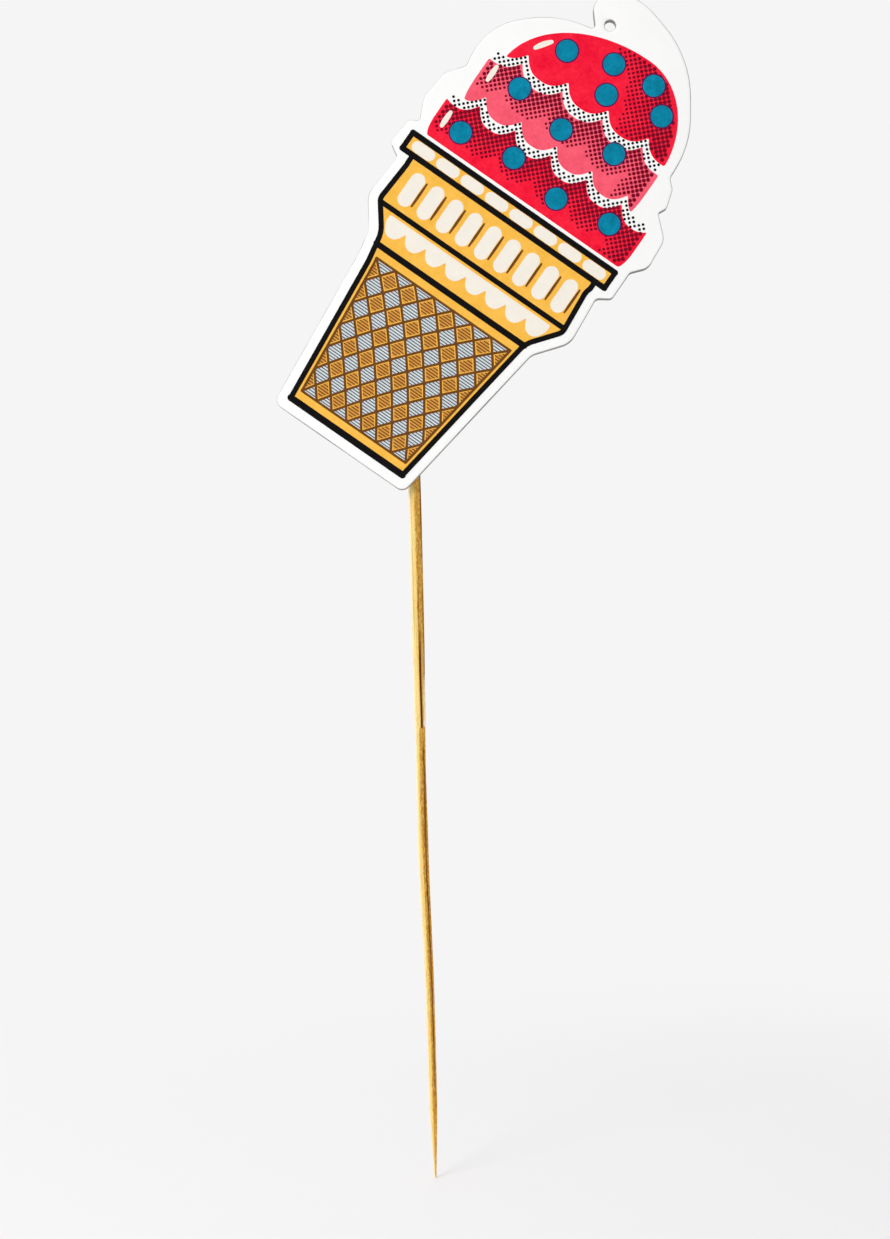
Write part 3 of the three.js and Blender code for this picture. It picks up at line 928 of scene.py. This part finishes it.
limits = edge_limits(PRINT_MARGIN)
ice_limits = edge_limits(ICE_SHARE * PRINT_MARGIN)
waffle_sides = drawn_in(limits, WAFFLE_IN)
collar = upright(limits, COLLAR_FOOT, COLLAR_NECK)
rim = upright(limits, RIM_MIDDLE, RIM_MIDDLE)
first_sides = scoop_sides(middle=1.0 * MM, reach=19.3 * MM, low=46.8 * MM, high=61 * MM, fall=0.18)
first_sides = within(first_sides, ice_limits)
second_sides = scoop_sides(middle=0.1 * MM, reach=16.5 * MM, low=55 * MM, high=71 * MM, fall=0.1)
second_sides = within(second_sides, ice_limits)
dome = dome_sides(DOME_CROWN, DOME_LEFT, DOME_RIGHT, DOME_FOOT, DOME_TOP)
dome = within(dome, upright(ice_limits, 0, DOME_FREE))
first_edge = scallops(FIRST_DRIP, DRIP_DEPTH, FIRST_DRIPS, start=0.6 * MM)
second_edge = scallops(SECOND_DRIP, DRIP_DEPTH, SECOND_DRIPS, start=-3.7 * MM)


def ink_piece(name, films, material):
    """One ink's films as one piece of the print."""
    piece(name, joined(films), material)


def gold_ink(material):
    """Cone, collar and rim."""
    bands = ((limits, CONE_LOW, COLLAR_FOOT), (collar, COLLAR_FOOT, RIM_LOW), (rim, RIM_LOW, RIM_HIGH))
    films = [area(sides, level(low), level(high), GROUND_INK) for sides, low, high in bands]
    ink_piece("ink_gold", films, material)


def waffle_point(s, v):
    """s from -1 to 1 across the waffle panel, at level v."""
    left, right = (side(v) for side in waffle_sides)
    return np.stack([(left + right) / 2 + s * (right - left) / 2, v], axis=-1)


def waffle_lines():
    """Slanting lines s = -1 + 2 (i +/- (v - low) / pitch) / count, cut off at the panel's sides."""
    films = []
    for lean in (1, -1):
        for i in range(-WAFFLE_UP, WAFFLE_ACROSS + WAFFLE_UP + 1):
            ends = np.clip([-lean * i, lean * (WAFFLE_ACROSS - i)], 0, WAFFLE_UP)
            if ends.max() - ends.min() < SHORTEST_LINE:
                continue
            climb = np.linspace(ends.min(), ends.max(), 12)
            s = -1 + 2 * (i + lean * climb) / WAFFLE_ACROSS
            path = waffle_point(s, WAFFLE_LOW + climb * WAFFLE_PITCH)
            films.append(ribbon(path, WAFFLE_LINE, THIRD_INK - 3 * INK_STEP * (lean < 0)))
    return films


def waffle_cells(kind):
    """The waffle's cells, kind 0 with their middles in the first row and on, kind 1 between them. For each
    cell: its middle (s, v) and how far it goes left, right, down and up, which is 1, or 0 where the panel's
    border cuts it."""
    cells = []
    near = 0.01 * MM
    for row in range(WAFFLE_UP + kind):
        for column in range(WAFFLE_ACROSS + 1 - kind):
            s = -1 + 2 * (column + kind / 2) / WAFFLE_ACROSS
            v = WAFFLE_LOW + (row + (1 - kind) / 2) * WAFFLE_PITCH
            cells.append((s, v, s > -0.99, s < 0.99, v > WAFFLE_LOW + near, v < WAFFLE_HIGH - near))
    return np.array(cells, float)


def pit_points(kind, cells, x, h):
    """Points in the cells' pits: x and h are 1 at the corners of a whole pit."""
    s = cells[:, 0] + x * PIT_SHARE[kind] / WAFFLE_ACROSS
    return waffle_point(s, cells[:, 1] + h * PIT_SHARE[kind] * WAFFLE_PITCH / 2)


def pits(kind):
    """The amber or the slate pits: diamonds, or half diamonds along the border."""
    cells = waffle_cells(kind)
    none = 0 * cells[:, 0]
    corners = ((none, -cells[:, 4]), (cells[:, 3], none), (none, cells[:, 5]), (-cells[:, 2], none))
    return prints(np.stack([pit_points(kind, cells, x, h) for x, h in corners], axis=1), SECOND_INK)


def pit_hatching():
    """Fine level lines over every pit: at height h, from x = -(1 - |h|) to x = 1 - |h|."""
    films = []
    for kind in (0, 1):
        half_height = PIT_SHARE[kind] * WAFFLE_PITCH / 2
        count = int(HATCH_REACH * half_height / HATCH_PITCH)
        for h in np.arange(-count, count + 1) * HATCH_PITCH / half_height:
            cells = waffle_cells(kind)
            cells = cells[(h >= -cells[:, 4]) & (h <= cells[:, 5])]
            reach = 1 - abs(h)
            start = pit_points(kind, cells, -reach * cells[:, 2], h)
            end = pit_points(kind, cells, reach * cells[:, 3], h)
            films.append(bars(start, end, HATCH_LINE, DOT_INK))
    return films


def row_places(count, pitch, middle):
    """Where the flutes or beads of a row stand across the card."""
    return middle + (np.arange(count) - (count - 1) / 2) * pitch


def brown_ink(material):
    """Waffle lines and the shade line beside each flute."""
    films = waffle_lines()
    for v in (WAFFLE_LOW, WAFFLE_HIGH):
        films.append(keyline(level_path(waffle_sides, v), WAFFLE_LINE, THIRD_INK + 2 * INK_STEP))
    for side in waffle_sides:
        path = side_path(side, WAFFLE_LOW, WAFFLE_HIGH)
        films.append(keyline(path, WAFFLE_LINE, THIRD_INK + 4 * INK_STEP))
    for u in row_places(*FLUTES):
        path = side_path(level(u + FLUTE_SHADE_ASIDE), *FLUTE_SHADE_SPAN, 12)
        films.append(ribbon(path, FLUTE_SHADE_WIDTH, DOT_INK, swell=0.4))
    ink_piece("ink_brown", films, material)


def cream_ink(material):
    """Cream scallops and flutes on the collar, long beads on the rim and a shine mark on each scoop."""
    reach = CREAM_SCALLOPS / 2 * CREAM_PITCH
    ends = tuple(level(CREAM_MIDDLE + way * reach) for way in (-1, 1))
    hanging = scallops(CREAM_LOW, CREAM_DEPTH, CREAM_PITCH, CREAM_MIDDLE + reach)
    films = [area(ends, hanging, level(CREAM_HIGH), SECOND_INK)]
    for u in row_places(*FLUTES):
        films.append(ribbon(side_path(level(u), *FLUTE_SPAN, 16), FLUTE_WIDTH, SECOND_INK))
    for u in row_places(*BEADS):
        path = side_path(level(RIM_MIDDLE), u - BEAD_REACH, u + BEAD_REACH, 16)[:, ::-1]
        films.append(ribbon(path, BEAD_WIDTH, SECOND_INK))
    for sides, span in zip((first_sides, second_sides, dome), SHINE_SPANS):
        path = side_path(sides[0], *span) + np.array([SHINE_IN, 0])
        films.append(ribbon(path, SHINE_WIDTH, THIRD_INK, swell=0.45))
    ink_piece("ink_cream", films, material)


def red_ink(material):
    """The lowest scoop and the top scoop."""
    first = area(first_sides, level(FIRST_SCOOP_LOW), lowered(first_edge, DRIP_GAP), GROUND_INK)
    top = area(dome, second_edge, level(DOME_TOP), GROUND_INK)
    ink_piece("ink_red", [first, top], material)


def pink_ink(material):
    """The middle scoop."""
    second = area(second_sides, first_edge, lowered(second_edge, DRIP_GAP), GROUND_INK)
    ink_piece("ink_pink", [second], material)


def shade_dots():
    """Dots on a square grid that stands on its corner, in a band under each row of scallops and down the
    right side of each scoop, smaller where a band runs out. Returns (u, v, radius) of those over ink and of
    those over bare paper."""
    columns, rows = np.meshgrid(np.arange(*DOT_COLUMNS), np.arange(*DOT_ROWS))
    keep = (columns + rows) % 2 == 0
    spots = np.stack([columns[keep], rows[keep]], axis=-1) * DOT_PITCH * math.sqrt(0.5)
    u, v = spots.T
    clear = DOT_ON_INK + INK_SPREAD
    over_ink = []
    over_paper = []
    for sides, base, top, gap, shaded in (
        (first_sides, level(FIRST_SCOOP_LOW), first_edge, DRIP_GAP, SIDE_SHADE),
        (second_sides, first_edge, second_edge, DRIP_GAP, SIDE_SHADE),
        (dome, second_edge, level(DOME_TOP), 0.0, DOME_SHADE),
    ):
        left, right = sides
        clear_left = np.maximum(left(v - DOT_ON_INK), left(v + DOT_ON_INK)) + clear
        clear_right = np.minimum(right(v - DOT_ON_INK), right(v + DOT_ON_INK)) - clear
        inside = (u > clear_left) & (u < clear_right) & (v > base(u) + DOT_ON_INK)
        below = top(u) - v
        under_scallops = (below - gap) / SHADE_BAND if gap else np.ones_like(v)
        fade = np.minimum(under_scallops, (right(v) - u) / shaded)
        on_ink = inside & (below > gap + DOT_CLEAR) & (fade < 1)
        on_paper = inside & (below > 1.5 * DOT_CLEAR) & (below < gap - DOT_CLEAR)
        radius = DOT_ON_INK * (1 - DOT_SHRINK * np.clip(fade, 0, 1) ** 2)
        over_ink.append(np.column_stack([spots, radius])[on_ink])
        over_paper.append(np.column_stack([spots, np.full(len(spots), DOT_ON_PAPER)])[on_paper])
    return np.concatenate(over_ink), np.concatenate(over_paper)


def dot_inks(dark_red, black):
    """The shading dots: dark red where black prints over red and pink, black over the bare paper."""
    names = ("ink_dots_on_red", "ink_dots_on_paper")
    for name, dots, material in zip(names, shade_dots(), (dark_red, black)):
        ink_piece(name, [discs(dots[:, :2], dots[:, 2], DOT_INK)], material)


def confetti_places():
    """The middles of the confetti, row by row."""
    places = []
    for middle, pitch, v, count, rise in CONFETTI_ROWS:
        for i, u in enumerate(row_places(count, pitch, middle)):
            places.append((u, v + (i % 2 - 0.5) * rise))
    return np.array(places) * MM


def teal_inks(teal, violet):
    """Confetti, each with the thin dark ring where teal prints over red."""
    places = confetti_places()
    sizes = np.full(len(places), CONFETTI_RADIUS)
    ink_piece("ink_teal", [discs(places, sizes, THIRD_INK, sides=48)], teal)
    ink_piece("ink_teal_rings", [discs(places, sizes + CONFETTI_TRAP, TRAP_INK, sides=48)], violet)


def black_ink(material):
    """Even keylines that frame the cone, the collar's two bands and the rim, joined at their corners."""
    films = [keyline(level_path(rim, RIM_HIGH), RIM_LINE, KEYLINE_INK)]
    for sides, low, high, foot_line in (
        (limits, CONE_LOW, COLLAR_FOOT, CONE_LINE),
        (collar, COLLAR_FOOT, COLLAR_SPLIT, COLLAR_LINE),
        (collar, COLLAR_SPLIT, RIM_LOW, KEYLINE),
        (rim, RIM_LOW, RIM_HIGH, RIM_LINE),
    ):
        films.append(keyline(level_path(sides, low), foot_line, KEYLINE_INK))
        for side in sides:
            films.append(keyline(side_path(side, low, high), KEYLINE, KEYLINE_INK - 3 * INK_STEP))
    ink_piece("ink_black", films, material)


# Stick

STICK_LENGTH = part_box("bamboo_stick")[1].z
STICK_RINGS = 560
STICK_SIDES = 96
STICK_SPREAD = 1.03
SQUARE_FROM = 113 * MM  # behind the card the stick is a plain square bar
SQUARE_TO = 119 * MM
CORNER_POWER = 18  # the higher, the sharper the edges between the stick's faces
# The other faces and the back bevels: direction in degrees, and distance in half-widths
SIDE_FACES = ((0, 1.0), (90, 1.0), (180, 1.0), (270, 1.0), (45, 1.26), (135, 1.26))
SQUARE_FRONT = 1.24  # behind the card the two front faces lie this far out, beyond the square's corners
LEFT_EDGE = (-1.0, -0.1)  # where the two front faces end, across and out, in half-widths
RIGHT_EDGE = (1.0, -0.16)
# Where the front ridge runs: height in millimetres, and place across from -1 to 1
RIDGE = (
    (0, -0.05),
    (30, -0.05),
    (52, -0.15),
    (62, -0.22),
    (72.4, -0.34),
    (73, 0.08),
    (84, 0.08),
    (92, -0.02),
    (112, -0.14),
)
SPLIT_FOOT = 72.7 * MM  # a long split beside the front ridge
SPLIT_SHALLOW = 83 * MM  # from here up it runs out
SPLIT_TOP = 91 * MM
SPLIT_DEPTH = 0.12 * MM
SPLIT_PLACE = 0.36  # across
SPLIT_WIDTH = 0.21  # of the stick's half-width, to each side of its middle
SPLIT_END = 0.3 * MM  # how soon it opens at its foot
DRIFT = (0.03, 0.04)  # how far the ridge and the split wander aside
FIBRE_DEPTH = 0.012  # of the stick's half-width
FRONT_TO = 0.3  # marks and the split lie where the sine of the angle is below this
NICK_FOOT = 72.6 * MM  # where a sliver has split off the right edge
NICK_TOP = 78 * MM
NICK_STEP = 0.4 * MM  # how soon it is deep at its foot
NICK_DEPTH = 0.3  # of the stick's half-width
BOW = 0.37 * MM  # how far the stick bows to the left, most at BOW_MIDDLE and not at all beyond the two ends
BOW_FOOT = 28 * MM
BOW_MIDDLE = 54 * MM
BOW_TOP = 112 * MM
WARM_BELOW = 58 * MM  # from here down the pale half is golden and shades off into the brown
WARM_FADE = 3 * MM
# Dark streaks: place across, width, foot and top in millimetres, and strength; the two along the right
# edge, at 0.9 and 0.94 across, are painted shade of that edge
STREAKS = (
    (-0.56, 0.08, 86, 118, 0.28),
    (0.94, 0.11, 97, 118, 0.9),
    (0.12, 0.07, 86, 102, 0.5),
    (0.9, 0.1, 73, 98, 0.45),
    (0.62, 0.24, 50, 72, 0.7),
    (0.5, 0.3, 8, 60, 0.5),
    (0.6, 0.15, 12, 57, 0.9),
    (-0.3, 0.07, 20, 66, 0.25),
)
STREAK_FADE = 4  # millimetres at each end
STREAK_WANDER = 0.05  # across
STREAK_RAGGED = 0.35
# The brown side's edge, measured from the ridge: where it starts and is full, and how much wider below;
# the brown is partly the wood's own and partly painted shade of the face right of the ridge
SKIN_EDGE = (-0.09, 0.1)
SKIN_WIDER = (0.4, 0.3)
SKIN_RAGGED = 0.05
WARM_TONE = 0.22  # the least brown of the golden half
SPLIT_PALE = 0.6
SPLIT_PALE_BAND = (0.3, 0.4, 0.7, 0.85)  # across
PITH_EDGE = (-0.95, -0.45)  # across


def stick_reach(z):
    """The CAD stick's half-width at height z, read from its rings."""
    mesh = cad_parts["bamboo_stick"].data
    points = np.array([vertex.co for vertex in mesh.vertices])
    rings = np.unique(np.round(points[:, 2], 5))
    reach = [np.abs(points[np.abs(points[:, 2] - ring) < 1e-4, 0]).max() for ring in rings]
    return np.interp(z, rings, reach)


def stick_radius(angle, z, ridge):
    """How far the rounded outline of a section reaches at `angle` from +X: with face normals a_k at
    distances d_k it is (sum of max(0, cos(angle - a_k) / d_k)^p)^(-1/p). Below the card the front is two
    long faces that meet in a ridge; behind the card it is square."""
    square = smooth_step(SQUARE_FROM, SQUARE_TO, z)
    total = 0
    for start, end in ((LEFT_EDGE, ridge), (ridge, RIGHT_EDGE)):
        run_x = end[0] - start[0]
        run_y = end[1] - start[1]
        normal = math.pi + np.arctan2(run_x, -run_y)
        distance = start[0] * np.cos(normal) + start[1] * np.sin(normal)
        distance = distance * (1 - square) + SQUARE_FRONT * square
        total = total + np.maximum(0, np.cos(angle - normal) / distance) ** CORNER_POWER
    for normal, distance in SIDE_FACES:
        total = total + np.maximum(0, np.cos(angle - math.radians(normal)) / distance) ** CORNER_POWER
    return total ** (-1 / CORNER_POWER)


def stick_bow(z):
    """How far the stick's middle line lies aside at height z: -bow times a smooth band about its middle."""
    return -BOW * band(z, BOW_FOOT, BOW_MIDDLE, BOW_MIDDLE, BOW_TOP)


def streak_marks(across, z, size):
    """Ragged dark streaks: for each, exp(-((across - place) / width)^2) between its foot and its top."""
    marks = 0
    for number, (place, width, foot, top, strength) in enumerate(STREAKS):
        centre = place + STREAK_WANDER * smooth_noise((size[0], 1), (20, 0.01), 60 + number)
        along = band(z / MM, foot, foot + STREAK_FADE, top - STREAK_FADE, top)
        ragged = np.clip(1 + STREAK_RAGGED * smooth_noise(size, (7, 1), 80 + number), 0, 1.4)
        marks = np.maximum(marks, strength * np.exp(-(((across - centre) / width) ** 2)) * along * ragged)
    return marks


def stick_piece(material):
    """The stick: rings of points round its bowed middle line, r = half-width times the section's outline,
    less its fibres and the split exp(-((across - place) / width)^4), and cut off at the right where the nick
    is. Its ends close in poles."""
    z = np.concatenate([[0], np.linspace(0, STICK_LENGTH, STICK_RINGS), [STICK_LENGTH]])[:, None]
    size = (STICK_RINGS + 2, STICK_SIDES)
    angle = around(STICK_SIDES)
    drift = smooth_noise((size[0], 1), (16, 0.01), 3)
    heights, places = np.array(RIDGE).T
    ridge = np.interp(z, heights * MM, places) + DRIFT[0] * drift
    outline_share = stick_radius(angle, z, (ridge, -1.0))
    across = np.cos(angle) * outline_share
    front = np.sin(angle) < FRONT_TO
    in_split = band(z, SPLIT_FOOT - SPLIT_END, SPLIT_FOOT, SPLIT_SHALLOW, SPLIT_TOP)
    split = np.exp(-(((across - SPLIT_PLACE - DRIFT[1] * drift) / SPLIT_WIDTH) ** 4)) * in_split * front
    fibres = np.clip(smooth_noise(size, (26, 0.7), 11) + 1, 0, 3)
    waves = np.clip(smooth_noise(size, (14, 6), 12) + 1, 0, 3)
    reach = stick_reach(z[:, 0])[:, None]
    radius = reach * (outline_share - FIBRE_DEPTH * (fibres + waves)) - SPLIT_DEPTH * split
    radius[[0, -1]] = 0
    nick = NICK_DEPTH * band(z, NICK_FOOT, NICK_FOOT + NICK_STEP, NICK_FOOT, NICK_TOP)
    x = stick_bow(z) + np.minimum(STICK_SPREAD * radius * np.cos(angle), (1 - nick) * reach)
    points = np.stack([x, radius * np.sin(angle), z + 0 * radius], axis=-1).reshape(-1, 3)
    warm = 1 - smooth_step(WARM_BELOW - WARM_FADE, WARM_BELOW, z)
    # the brown side: partly the wood's own tone, partly painted shade of the face right of the ridge
    beside = across - ridge + SKIN_RAGGED * smooth_noise(size, (4, 1.4), 17)
    skin = smooth_step(SKIN_EDGE[0] - SKIN_WIDER[0] * warm, SKIN_EDGE[1] + SKIN_WIDER[1] * warm, beside)
    skin = WARM_TONE * warm + (1 - WARM_TONE * warm) * skin
    skin = skin * (1 - SPLIT_PALE * in_split * band(across, *SPLIT_PALE_BAND))
    # painted shade: the split darkens with its depth, and the streaks along the right edge shade that edge
    bark_and_shade = np.clip(np.maximum(1.1 * split, streak_marks(across, z, size) * front), 0, 1)
    pith = 1 - smooth_step(*PITH_EDGE, across)
    shape = points, grid_faces(*size, wrap=True)
    marks = {"skin": skin, "bark_and_shade": bark_and_shade, "pith": pith}
    piece("bamboo_split", shape, material, ["bamboo_stick"], marks, smooth=50)


def tube(path, half_width, half_depth, sides=10):
    """A round profile carried along a path of (x, y, z) that runs mostly upright: at each point an ellipse in
    the level plane, drawn in to a pole where its half-width is 0."""
    angle = around(sides)
    x = path[:, :1] + half_width[:, None] * np.cos(angle)
    y = path[:, 1:2] + half_depth[:, None] * np.sin(angle)
    z = path[:, 2:] + 0 * angle
    return np.stack([x, y, z], axis=-1).reshape(-1, 3), grid_faces(len(path), sides, wrap=True)


SLIVER_LENGTH = 9.5 * MM
SLIVER_HALF_WIDTH = 0.13 * MM
SLIVER_HALF_DEPTH = 0.2 * MM
SLIVER_LIFT = 0.1 * MM
SLIVER_BELOW = 0.5 * MM  # how far below the nick it starts
SLIVER_IN = 0.12 * MM  # from the stick's edge
SLIVER_FRONT = (-0.3 * MM, -0.15 * MM)  # its depth at its foot and at its top


def splinter(material):
    """A pale sliver that has lifted off the stick's right edge and ends in a free point at the nick's foot.
    It swells as sqrt(sin(pi t)) from both of its points."""
    t = np.linspace(0, 1, 40)
    z = NICK_FOOT - SLIVER_BELOW + SLIVER_LENGTH * t
    x = stick_bow(z) + stick_reach(z) - SLIVER_IN + SLIVER_LIFT * (1 - t) ** 2
    y = SLIVER_FRONT[0] * (1 - t) + SLIVER_FRONT[1] * t
    swell = np.sqrt(np.clip(np.sin(math.pi * t), 0, 1))
    path = np.stack([x, y, z], axis=-1)
    shape = tube(path, SLIVER_HALF_WIDTH * swell, SLIVER_HALF_DEPTH * swell)
    plain = np.ones(len(shape[0]))
    marks = {"skin": 0.1 * plain, "bark_and_shade": 0 * plain, "pith": 0.7 * plain}
    piece("stick_splinter", shape, material, (), marks, smooth=60)


# Glue and tape on the back

DAB_RINGS = 36
DAB_SIDES = 96
DAB_TOP = 0.9  # the dab's own height, as a share of the height with its peak
DAB_LOBES = 0.055  # how far its rim is drawn in between lobes, as a share of its radius
DAB_RIPPLE = 0.02
PEAK_PLACE = (0.3 * MM, 0.7 * MM)  # from the dab's middle
PEAK_SPREAD = 0.45 * MM
STRING_RADIUS = 0.055 * MM
STRING_ASIDE = 0.35 * MM  # from the stick's middle
STRING_SWAY = 0.25 * MM
STRING_BELOW = 1.2 * MM  # how far the hair runs out over the slope of the dab below it, and of the one above
STRING_ABOVE = 1.0 * MM
STRING_SINK = 0.02 * MM  # its middle lies about this far below the highest level of the tape's node
STRING_WAVE = 0.03 * MM
TAPE_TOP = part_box("tape_strip_upper")[1].y
TAPE_THICKNESS = 0.13 * MM
TAPE_ROWS = 90
TAPE_COLUMNS = 260
TAPE_TEETH = 8
TOOTH_DEPTH = 0.32 * MM
STICK_HALF = 1.0 * MM  # behind the card
TENT = 1.15 * MM  # the tape leaves the card this far beside the stick
TENT_WANDER = 0.12 * MM
TAPE_SPARE = 0.03 * MM  # left over the tape for its wrinkles
TAPE_OFF_CARD = 0.004 * MM
TAPE_WRINKLES = 0.16  # of its thickness
TAPE_EDGE_WAVES = 0.006  # of its half-width


def glue_dab(name, node, material, seed):
    """A dab of glue over the stick: on a polar grid, height = top (1 - r^2.6)^0.7 with a lobed rim, and a
    small peak where the nozzle was drawn off."""
    low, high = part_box(node)
    middle = (low + high) / 2
    r = np.sin(np.linspace(0, math.pi / 2, DAB_RINGS))[:, None]
    angle = around(DAB_SIDES)
    lobes = 1 - DAB_LOBES * np.clip(smooth_noise((1, DAB_SIDES), (0.01, 7), seed) + 1.2, 0, 3)
    x = middle.x + (high.x - low.x) / 2 * lobes * r * np.cos(angle)
    z = middle.z + (high.z - low.z) / 2 * lobes * r * np.sin(angle)
    tall = high.y - CARD_BACK
    ripple = 1 + DAB_RIPPLE * smooth_noise((DAB_RINGS, DAB_SIDES), (3, 5), seed + 1) * (1 - r)
    height = DAB_TOP * tall * np.clip(1 - r**2.6, 0, 1) ** 0.7 * ripple
    away = np.hypot(x - middle.x - PEAK_PLACE[0], z - middle.z - PEAK_PLACE[1])
    height = height + (1 - DAB_TOP) * tall * np.exp(-((away / PEAK_SPREAD) ** 2))
    surface = np.stack([x, CARD_BACK + height, z], axis=-1)
    floor = np.stack([x[::-1], np.full_like(x, CARD_BACK), z[::-1]], axis=-1)
    points = np.concatenate([surface, floor[1:]]).reshape(-1, 3)
    shape = points, grid_faces(2 * DAB_RINGS - 1, DAB_SIDES, wrap=True)
    piece(name, shape, material, [node], smooth=50)


def glue_string(material):
    """The hair of glue that the nozzle drew between the middle dab and the upper one. It lies on the tape and
    sways a little, its two ends stop just clear of the dabs' slopes, and it thins towards its upper end."""
    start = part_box("glue_dab_middle")[1].z - STRING_BELOW
    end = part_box("glue_dab_upper")[0].z + STRING_ABOVE
    t = np.linspace(0, 1, 60)
    x = STRING_ASIDE + STRING_SWAY * np.sin(5.2 * t)
    y = TAPE_TOP - STRING_SINK + STRING_WAVE * np.sin(9 * t)
    path = np.stack([x, y, start + (end - start) * t], axis=-1)
    size = STRING_RADIUS * np.sqrt(np.clip(1.02 - (2 * t - 1) ** 8, 0, 1)) * (1 - 0.35 * t)
    size[[0, -1]] = 0
    piece("glue_string", tube(path, size, size, 8), material, smooth=60)


def tape_strip(name, node, material, seed):
    """A strip of crepe tape over the stick. Across the stick its underside is card level + rise * S, where S
    falls smoothly from 1 on the stick to 0 on the card, wrinkled across its length and zigzag at its torn
    ends."""
    low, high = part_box(node)
    grid = (TAPE_ROWS, TAPE_COLUMNS)
    s = np.linspace(-1, 1, TAPE_COLUMNS)[None, :]
    t = np.linspace(-1, 1, TAPE_ROWS)[:, None]
    zigzag = np.abs(np.mod(TAPE_TEETH * (t + 1) / 2 + 0.25 * np.sign(s), 1) * 2 - 1)
    x = s * (high.x - low.x) / 2 - np.sign(s) * TOOTH_DEPTH * zigzag * np.abs(s) ** 24
    edge_waves = np.clip(smooth_noise((1, TAPE_COLUMNS), (0.01, 9), seed), -1, 1)
    z = (low.z + high.z) / 2 + t * (high.z - low.z) / 2 * (1 - TAPE_EDGE_WAVES * edge_waves**2)
    rise = TAPE_TOP - TAPE_THICKNESS - TAPE_SPARE - CARD_BACK
    foot = STICK_HALF + TENT + TENT_WANDER * smooth_noise(grid, (9, 4), seed + 2)
    share = 1 - smooth_step(STICK_HALF - TOOTH_DEPTH, foot, np.abs(x))
    under = CARD_BACK + TAPE_OFF_CARD + rise * share
    crepe = smooth_noise(grid, (16, 1.3), seed + 4)
    top = under + TAPE_THICKNESS * (1 + TAPE_WRINKLES * np.clip(crepe, -1.6, 1.3))
    shape = slab(np.stack([x, under, z], axis=-1), np.stack([x, top, z], axis=-1))
    piece(name, shape, material, [node], smooth=40)


# The whole pick

paper = paper_like("white_paper", PAPER, 0.025, roughness=0.5, fibre=0.18 * MM, height=0.012 * MM)
backing = paper_like("plain_backing", BACKING, 0.06, roughness=0.85, fibre=0.3 * MM, height=0.03 * MM)
front_sheet(paper)
core_layer(cut_board())
backing_layer(backing)

black = ink("black_ink", BLACK, variation=0.25)
gold_ink(ink("gold_ink", GOLD, variation=0.08, thin=0.032))
brown_ink(ink("brown_ink", BROWN, variation=0.15))
ink_piece("ink_slate", [pits(1)], ink("slate_ink", SLATE, variation=0.08))
ink_piece("ink_amber", [pits(0)], ink("amber_ink", AMBER))
ink_piece("ink_umber", pit_hatching(), ink("umber_ink", UMBER, variation=0.15))
cream_ink(ink("cream_ink", CREAM, variation=0.04, thin=0.0))
red_ink(ink("red_ink", RED, variation=0.13, thin=0.022))
pink_ink(ink("pink_ink", PINK, variation=0.12, thin=0.035))
dot_inks(ink("dark_red_ink", MAROON, variation=0.2), black)
teal_inks(ink("teal_ink", TEAL, variation=0.4, thin=0.002), ink("violet_ink", VIOLET))
black_ink(black)

wood = bamboo()
stick_piece(wood)
splinter(wood)
glue = hot_glue()
for seed, place in enumerate(("lower", "middle", "upper")):
    glue_dab(f"glue_{place}", f"glue_dab_{place}", glue, 20 + seed)
glue_string(glue)
tape = crepe_tape()
for seed, place in enumerate(("lower", "upper")):
    tape_strip(f"tape_{place}", f"tape_strip_{place}", tape, 40 + 10 * seed)


# Stage, light and camera


def stage_floor():
    """A round floor that the stick's tip touches."""
    mesh = bpy.data.meshes.new("floor")
    angle = around(96)[0]
    points = np.stack([FLOOR_RADIUS * np.cos(angle), FLOOR_RADIUS * np.sin(angle), 0 * angle], axis=-1)
    mesh.from_pydata(points.tolist(), [], [list(range(len(points)))])
    mesh.materials.append(floor_material())
    floor = put("floor", mesh)


def soft_lamp(name, place, target, size, power):
    """A square soft box that faces its target."""
    data = bpy.data.lights.new(name, "AREA")
    data.shape = "SQUARE"
    data.size = size
    data.energy = power
    lamp = put(name, data)
    lamp.location = place
    lamp.rotation_euler = (Vector(target) - Vector(place)).to_track_quat("-Z", "Y").to_euler()


def studio_world():
    """White background for the camera; for the object, soft light that fades from one side of the room to the
    other: strength = low + (high - low) (1 + direction . brightest) / 2."""
    world = bpy.data.worlds.new("studio")
    world.use_nodes = True
    bpy.context.scene.world = world
    tree = world.node_tree
    tree.nodes.clear()
    toward = add(tree, "ShaderNodeTexCoord").outputs["Generated"]
    side = add(tree, "ShaderNodeVectorMath", {0: toward, 1: WORLD_BRIGHTEST}, operation="DOT_PRODUCT")
    glow = ranged(tree, side.outputs["Value"], -1.0, 1.0, WORLD_LOW, WORLD_HIGH)
    soft = add(tree, "ShaderNodeBackground", {"Color": (1.0, 1.0, 1.0, 1.0), "Strength": glow})
    plain = add(tree, "ShaderNodeBackground", {"Color": shade_of(BACKGROUND), "Strength": 1.0})
    sockets = {0: camera_like_rays(tree), 1: soft.outputs[0], 2: plain.outputs[0]}
    mix = add(tree, "ShaderNodeMixShader", sockets)
    add(tree, "ShaderNodeOutputWorld", {"Surface": mix.outputs[0]})


stage_floor()
studio_world()
for name, setting in LAMPS.items():
    soft_lamp(name, *setting)

camera_data = bpy.data.cameras.new("camera")
camera_data.sensor_width = SENSOR_HEIGHT
camera_data.lens = FOCAL_PIXELS / PHOTO_HEIGHT * SENSOR_HEIGHT
camera_data.clip_start = 0.01
camera_data.clip_end = 20
camera = put("camera", camera_data)
camera.location = CAMERA_PLACE
camera.rotation_euler = (math.pi / 2, CAMERA_ROLL, 0)
bpy.context.scene.camera = camera
bpy.context.scene.view_settings.view_transform = "Standard"
